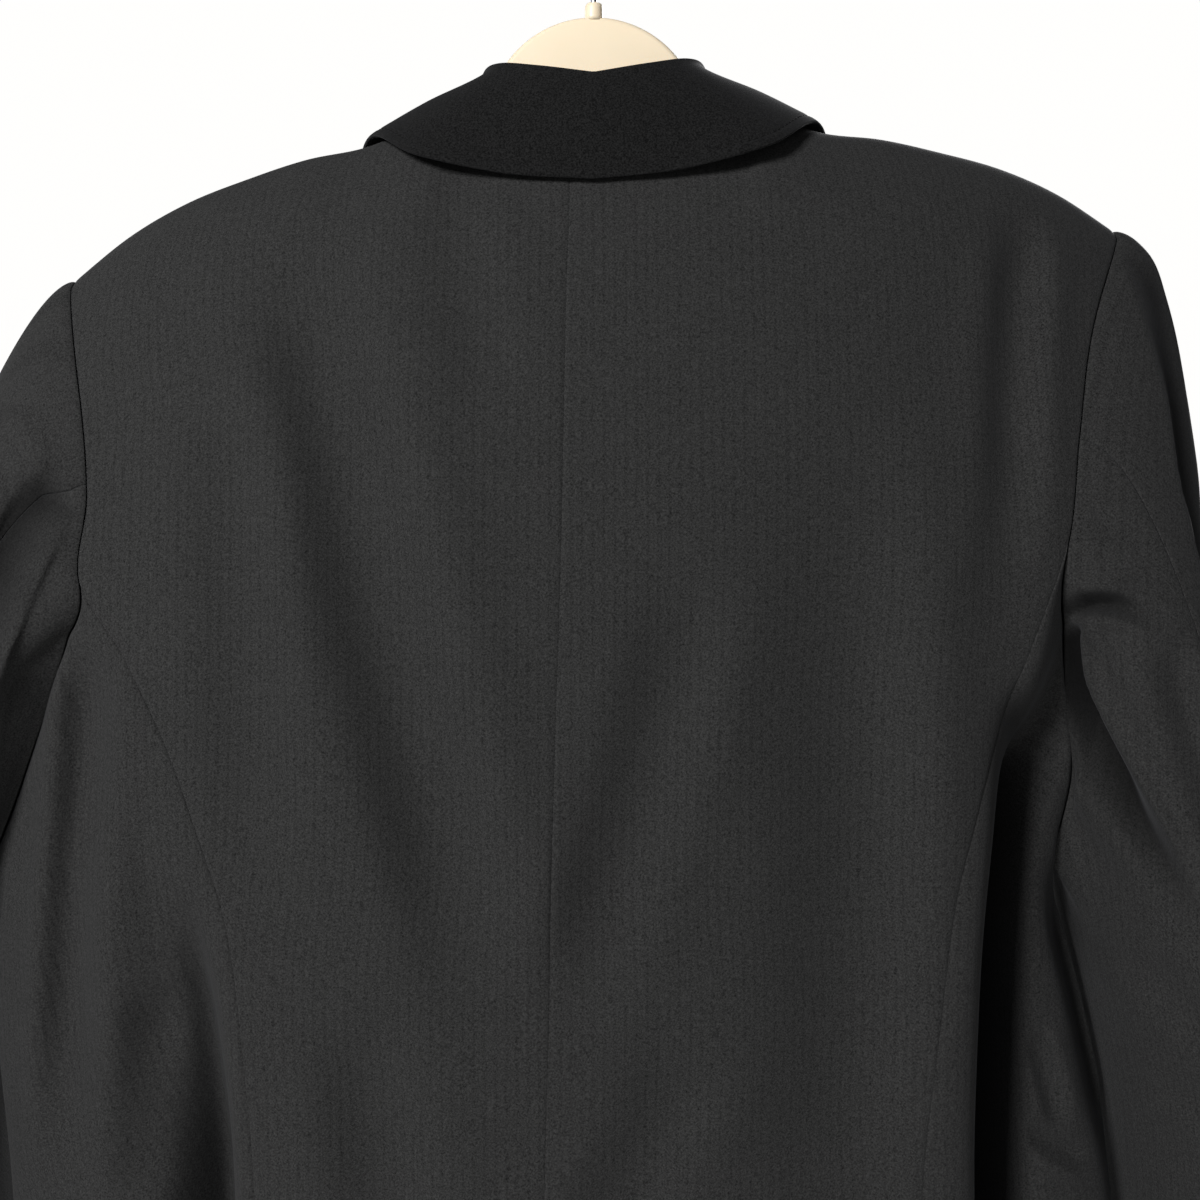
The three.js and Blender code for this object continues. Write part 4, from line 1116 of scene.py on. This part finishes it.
def lapel(side):
    """A lapel with its row of stitches, left out where the lapel is too narrow for it."""
    facing = SIGN[side]
    b, a = np.meshgrid(np.linspace(0, 1, 40), np.linspace(0, 1, 90))
    grid = lapel_surface(side, a, b)
    piece = mesh_of("lapel_" + side + "_cloth", grid, facing, hung_across(grid))
    wall(piece, LAPEL_WALL, BODY_CLOTH, facing_in=False)
    garment_piece(piece, "lapel_" + side)
    out = square_to(grid, facing)
    along = run_along(grid, 1)
    from_edge = along[:, -1:] - along
    index = np.argmin(np.abs(from_edge - STITCH_IN), axis=1)
    keep = np.arange(len(grid))[along[:, -1] > STITCH_IN + 3]
    stitching("lapel_" + side + "_stitching", stitch_row(grid[keep, index[keep]], out[keep, index[keep]]))


def lathe(profile, sides):
    """Points and quads of a profile of (radius, height) turned round the Y axis, its height along -Y."""
    angle = np.arange(sides) * 2 * np.pi / sides
    r, y = np.array(profile, float).T
    level = np.broadcast_to(-y[:, None], (len(r), sides))
    points = np.stack([r[:, None] * np.cos(angle), level, r[:, None] * np.sin(angle)], -1)
    i = np.arange(len(r) * sides).reshape(len(r), sides)
    j = np.roll(i, -1, 1)
    return points.reshape(-1, 3), np.stack([i[:-1], i[1:], j[1:], j[:-1]], -1).reshape(-1, 4)


# The button's profile as (radius, height): the rim's heights from its front, the underside's from its back
BUTTON_RIM = ((8.1, -0.05), (9.0, 0), (9.8, -0.25), (10.3, -0.8), (10.5, -1.5))
BUTTON_BACK = ((10.3, 1.0), (9.4, 0.3), (8.0, 0), (0.02, 0))
DISH_DEPTH = 0.9
HOLE_AT = 1.9
HOLE_FLOOR = 0.75
HOLE_WALL = 0.45
HOLE_DEPTH = 1.6
BAR_RADIUS = 0.27
BAR_APART = 0.28


def button(number):
    """A sewing button: a turned rim and dish with four holes pressed in, and two pairs of thread bars across
    them. A hole is HOLE_DEPTH deep out to HOLE_FLOOR and eases up within HOLE_WALL."""
    low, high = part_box(f"button_{number}")
    centre = (low + high) / 2 / MM
    half = (high.y - low.y) / 2 / MM
    r = np.concatenate([np.linspace(0.02, 4.2, 34), np.linspace(4.2, 7.1, 8)[1:]])
    dish = half - DISH_DEPTH
    rim = [(x, half + y) for x, y in BUTTON_RIM]
    back = [(x, y - half) for x, y in BUTTON_BACK]
    profile = [(x, dish - 0.12 * (x / 7) ** 2) for x in r] + [(7.5, dish + 0.35)] + rim + back
    points, faces = lathe(profile, 120)
    on_face = points[:, 1] < -half + 1.4
    holes = [(x, z) for x in (-HOLE_AT, HOLE_AT) for z in (-HOLE_AT, HOLE_AT)]
    near = np.min([np.hypot(points[:, 0] - x, points[:, 2] - z) for x, z in holes], axis=0)
    points[:, 1] += HOLE_DEPTH * (1 - ease((near - HOLE_FLOOR) / HOLE_WALL)) * on_face
    points += np.array(centre)
    hard_piece(f"button_{number}_moulded", f"button_{number}", BUTTON, "button_plastic", (points, faces))
    front = centre.y - half + 0.7
    bars = []
    for pair in (-HOLE_AT, HOLE_AT):
        for beside in (-BAR_APART, BAR_APART):
            x = np.linspace(-HOLE_AT, HOLE_AT, 12)
            y = front + 1.2 * (np.abs(x) / HOLE_AT) ** 6 - 0.25
            path = np.stack([centre.x + x, y, np.full(12, centre.z + pair + beside)], -1)
            bars.append(tube(path, BAR_RADIUS, 6))
    stitching(f"button_{number}_thread", *bars)


PLATE_RADIUS = 48
PLATE_HALF = 3.5
PLATE_ROUND = 2.6
PLATE_H = 24
STEM = ((0.05, -1.6), (4.1, -1.6), (4.1, 0), (4.1, 3.8), (4.0, 5.2), (3.6, 6.0), (3.0, 6.2), (0.05, 6.2))
STEM_H = 72
CLOTH_WALL = 1.6
ARM_CLEAR = 2.2
ARM_REACH = 198
ARM_HALF_HEIGHT = 12
ARM_HALF_DEPTH = 6
ARM_STATIONS = 133
ARM_SIDES = 28


def hanger_plate():
    """The plate: a disc whose rims are quarter circles."""
    flat = PLATE_HALF - PLATE_ROUND
    rim = PLATE_RADIUS - PLATE_ROUND
    corner = np.linspace(0, np.pi / 2, 7)
    edge = [(rim + PLATE_ROUND * math.sin(a), flat + PLATE_ROUND * math.cos(a)) for a in corner]
    profile = [(0.05, PLATE_HALF)] + edge + [(r, -y) for r, y in edge[::-1]] + [(0.05, -PLATE_HALF)]
    points, faces = lathe(profile, 144)
    return points + np.array([0, 0, PLATE_H - NAPE_DROP]), faces


def hanger_stem():
    """The stem, turned up from the Y axis to stand on the plate."""
    points, faces = lathe(STEM, 48)
    return np.stack([points[:, 0], points[:, 2], -points[:, 1] + STEM_H - NAPE_DROP], -1), faces


def hanger_arms():
    """The arms: one oval bar that follows the shoulders, dips beside the plate, thins as the root of 1 - x^6
    and closes at its ends as a circle does."""
    x = np.linspace(-ARM_REACH, ARM_REACH, ARM_STATIONS)
    far = np.maximum(60, np.abs(x))
    dip = 9 * np.exp(-(((far - 62) / 22) ** 2))
    seam = column(SHOULDER_SEAM, "x", "h", far)
    top = seam - CLOTH_WALL - ARM_CLEAR - dip + tilt(x) - NAPE_DROP
    thin = 0.62 + 0.38 * np.sqrt(1 - (np.abs(x) / 204) ** 6)
    cap = np.sqrt(np.clip(1 - ((np.abs(x) - 190) / 8.05).clip(0, 1) ** 2, 0.0004, 1))
    angle = np.arange(ARM_SIDES) * 2 * np.pi / ARM_SIDES
    half = ARM_HALF_HEIGHT * thin
    depth = ARM_HALF_DEPTH * (thin * cap)
    points = np.stack(
        [
            np.broadcast_to(x[:, None], (ARM_STATIONS, ARM_SIDES)),
            column(SHOULDER_SEAM, "x", "y", far)[:, None] + depth[:, None] * np.sin(angle),
            (top - half)[:, None] + (half * cap)[:, None] * np.cos(angle),
        ],
        -1,
    )
    i = np.arange(ARM_STATIONS * ARM_SIDES).reshape(ARM_STATIONS, ARM_SIDES)
    j = np.roll(i, -1, 1)
    return points.reshape(-1, 3), np.stack([i[:-1], j[:-1], j[1:], i[1:]], -1).reshape(-1, 4)


def hanger():
    """The hanger, one moulding of plate, stem and arms."""
    parts = hanger_plate(), hanger_stem(), hanger_arms()
    hard_piece("hanger_moulded", "hanger", PLASTIC, "hanger_plastic", *parts)


HOOK_RADIUS = 21
HOOK_ARC = (-55, 195)
HOOK_FOOT_H = 77.5
WIRE_RADIUS = 1.5


def hook():
    """The hook: a wire that rises from the stem by a cubic, straight up at first and along the arc at its
    end, and then bends over in an arc round the rail's place."""
    centre = -HOOK_RADIUS + WIRE_RADIUS
    angle = np.radians(np.linspace(*HOOK_ARC, 90))
    bow = np.stack([HOOK_RADIUS * np.cos(angle), 0 * angle, centre + HOOK_RADIUS * np.sin(angle)], -1)
    t = np.linspace(0, 1, 26)[:-1, None]
    start, end = np.array([0, 0, HOOK_FOOT_H - NAPE_DROP]), bow[0]
    turn = math.radians(HOOK_ARC[0] + 90)
    ahead = np.array([math.cos(turn), 0, math.sin(turn)])
    rise = start * (2 * t**3 - 3 * t**2 + 1) + np.array([0, 0, 34.0]) * (t**3 - 2 * t**2 + t)
    neck = rise + end * (3 * t**2 - 2 * t**3) + ahead * 16 * (t**3 - t**2)
    bent = tube(np.concatenate([neck, bow]), WIRE_RADIUS, 16)
    hard_piece("hook_wire_bent", "hook", WIRE, "hook_wire", bent)


# The camera's distance behind the shoulders, which was chosen, and one pixel of the photograph there, where
# the shoulders measure 470 mm between the armhole seams. PHOTO_MIDDLE is the photograph's middle there
CAMERA_AWAY = 620
PIXEL = 0.449
PHOTO_PIXELS = 1200
PHOTO_MIDDLE = (-2.7, -327)
FILM_WIDTH = 36


def camera():
    """The camera looks level from behind. Its lens is to the film's width as its distance is to the
    photograph's width at the shoulders."""
    data = bpy.data.cameras.new("camera")
    obj = bpy.data.objects.new("camera", data)
    bpy.context.scene.collection.objects.link(obj)
    data.lens = FILM_WIDTH * (CAMERA_AWAY / PIXEL) / PHOTO_PIXELS
    data.sensor_width = FILM_WIDTH
    obj.location = (PHOTO_MIDDLE[0] * MM, CAMERA_AWAY * MM, PHOTO_MIDDLE[1] * MM)
    obj.rotation_euler = Euler((math.pi / 2, 0, math.pi))
    bpy.context.scene.camera = obj


# Each light's name, place and size in metres, and watts. All are aimed at LIGHT_AIM
LIGHTS = (
    ("key_behind", (1.1, 1.65, 0.45), 0.6, 57),
    ("fill_behind", (-0.5, 2.2, 0.2), 1.4, 4),
    ("key_front", (-1.1, -1.8, 0.7), 0.9, 62),
    ("fill_front", (1.4, -1.7, 0.2), 1.3, 16),
)
LIGHT_AIM = (0, 0, -0.35)
PAPER_LIGHT = 0.03
FLOOR_Z = -1.25


def area_light(name, at, size, watts):
    """A square light that faces LIGHT_AIM."""
    data = bpy.data.lights.new(name, "AREA")
    data.size = size
    data.energy = watts
    obj = bpy.data.objects.new(name, data)
    obj.location = at
    obj.rotation_euler = (Vector(LIGHT_AIM) - Vector(at)).to_track_quat("-Z", "Y").to_euler()
    bpy.context.scene.collection.objects.link(obj)


def studio():
    """White paper all round, as bright as 1 where the camera sees it and as PAPER_LIGHT where it lights the
    garment, four lights and a pale floor."""
    world = bpy.data.worlds.new("studio")
    world.use_nodes = True
    tree = world.node_tree
    paper = tree.nodes["Background"]
    paper.inputs[0].default_value = (1.0, 0.995, 0.985, 1)
    seen = add(tree, "ShaderNodeLightPath").outputs["Is Camera Ray"]
    level = add(tree, "ShaderNodeMapRange", Value=seen, i3=PAPER_LIGHT, i4=1.0).outputs[0]
    tree.links.new(level, paper.inputs[1])
    bpy.context.scene.world = world
    bpy.context.scene.view_settings.view_transform = "Standard"
    for light in LIGHTS:
        area_light(*light)
    bpy.ops.mesh.primitive_plane_add(size=12, location=(0, 0, FLOOR_Z))
    floor = bpy.context.object
    floor.name = "floor"
    mat, _, shader = node_tree("pale_floor")
    set_sockets(shader, Base_Color=(0.9, 0.9, 0.89, 1), Roughness=0.8)
    floor.data.materials.append(mat)


camera()
studio()
for each in ("left", "right"):
    body_panels(each)
    sleeve_pieces(each)
    lapel(each)
collar()
for each in (1, 2, 3):
    button(each)
hanger()
hook()
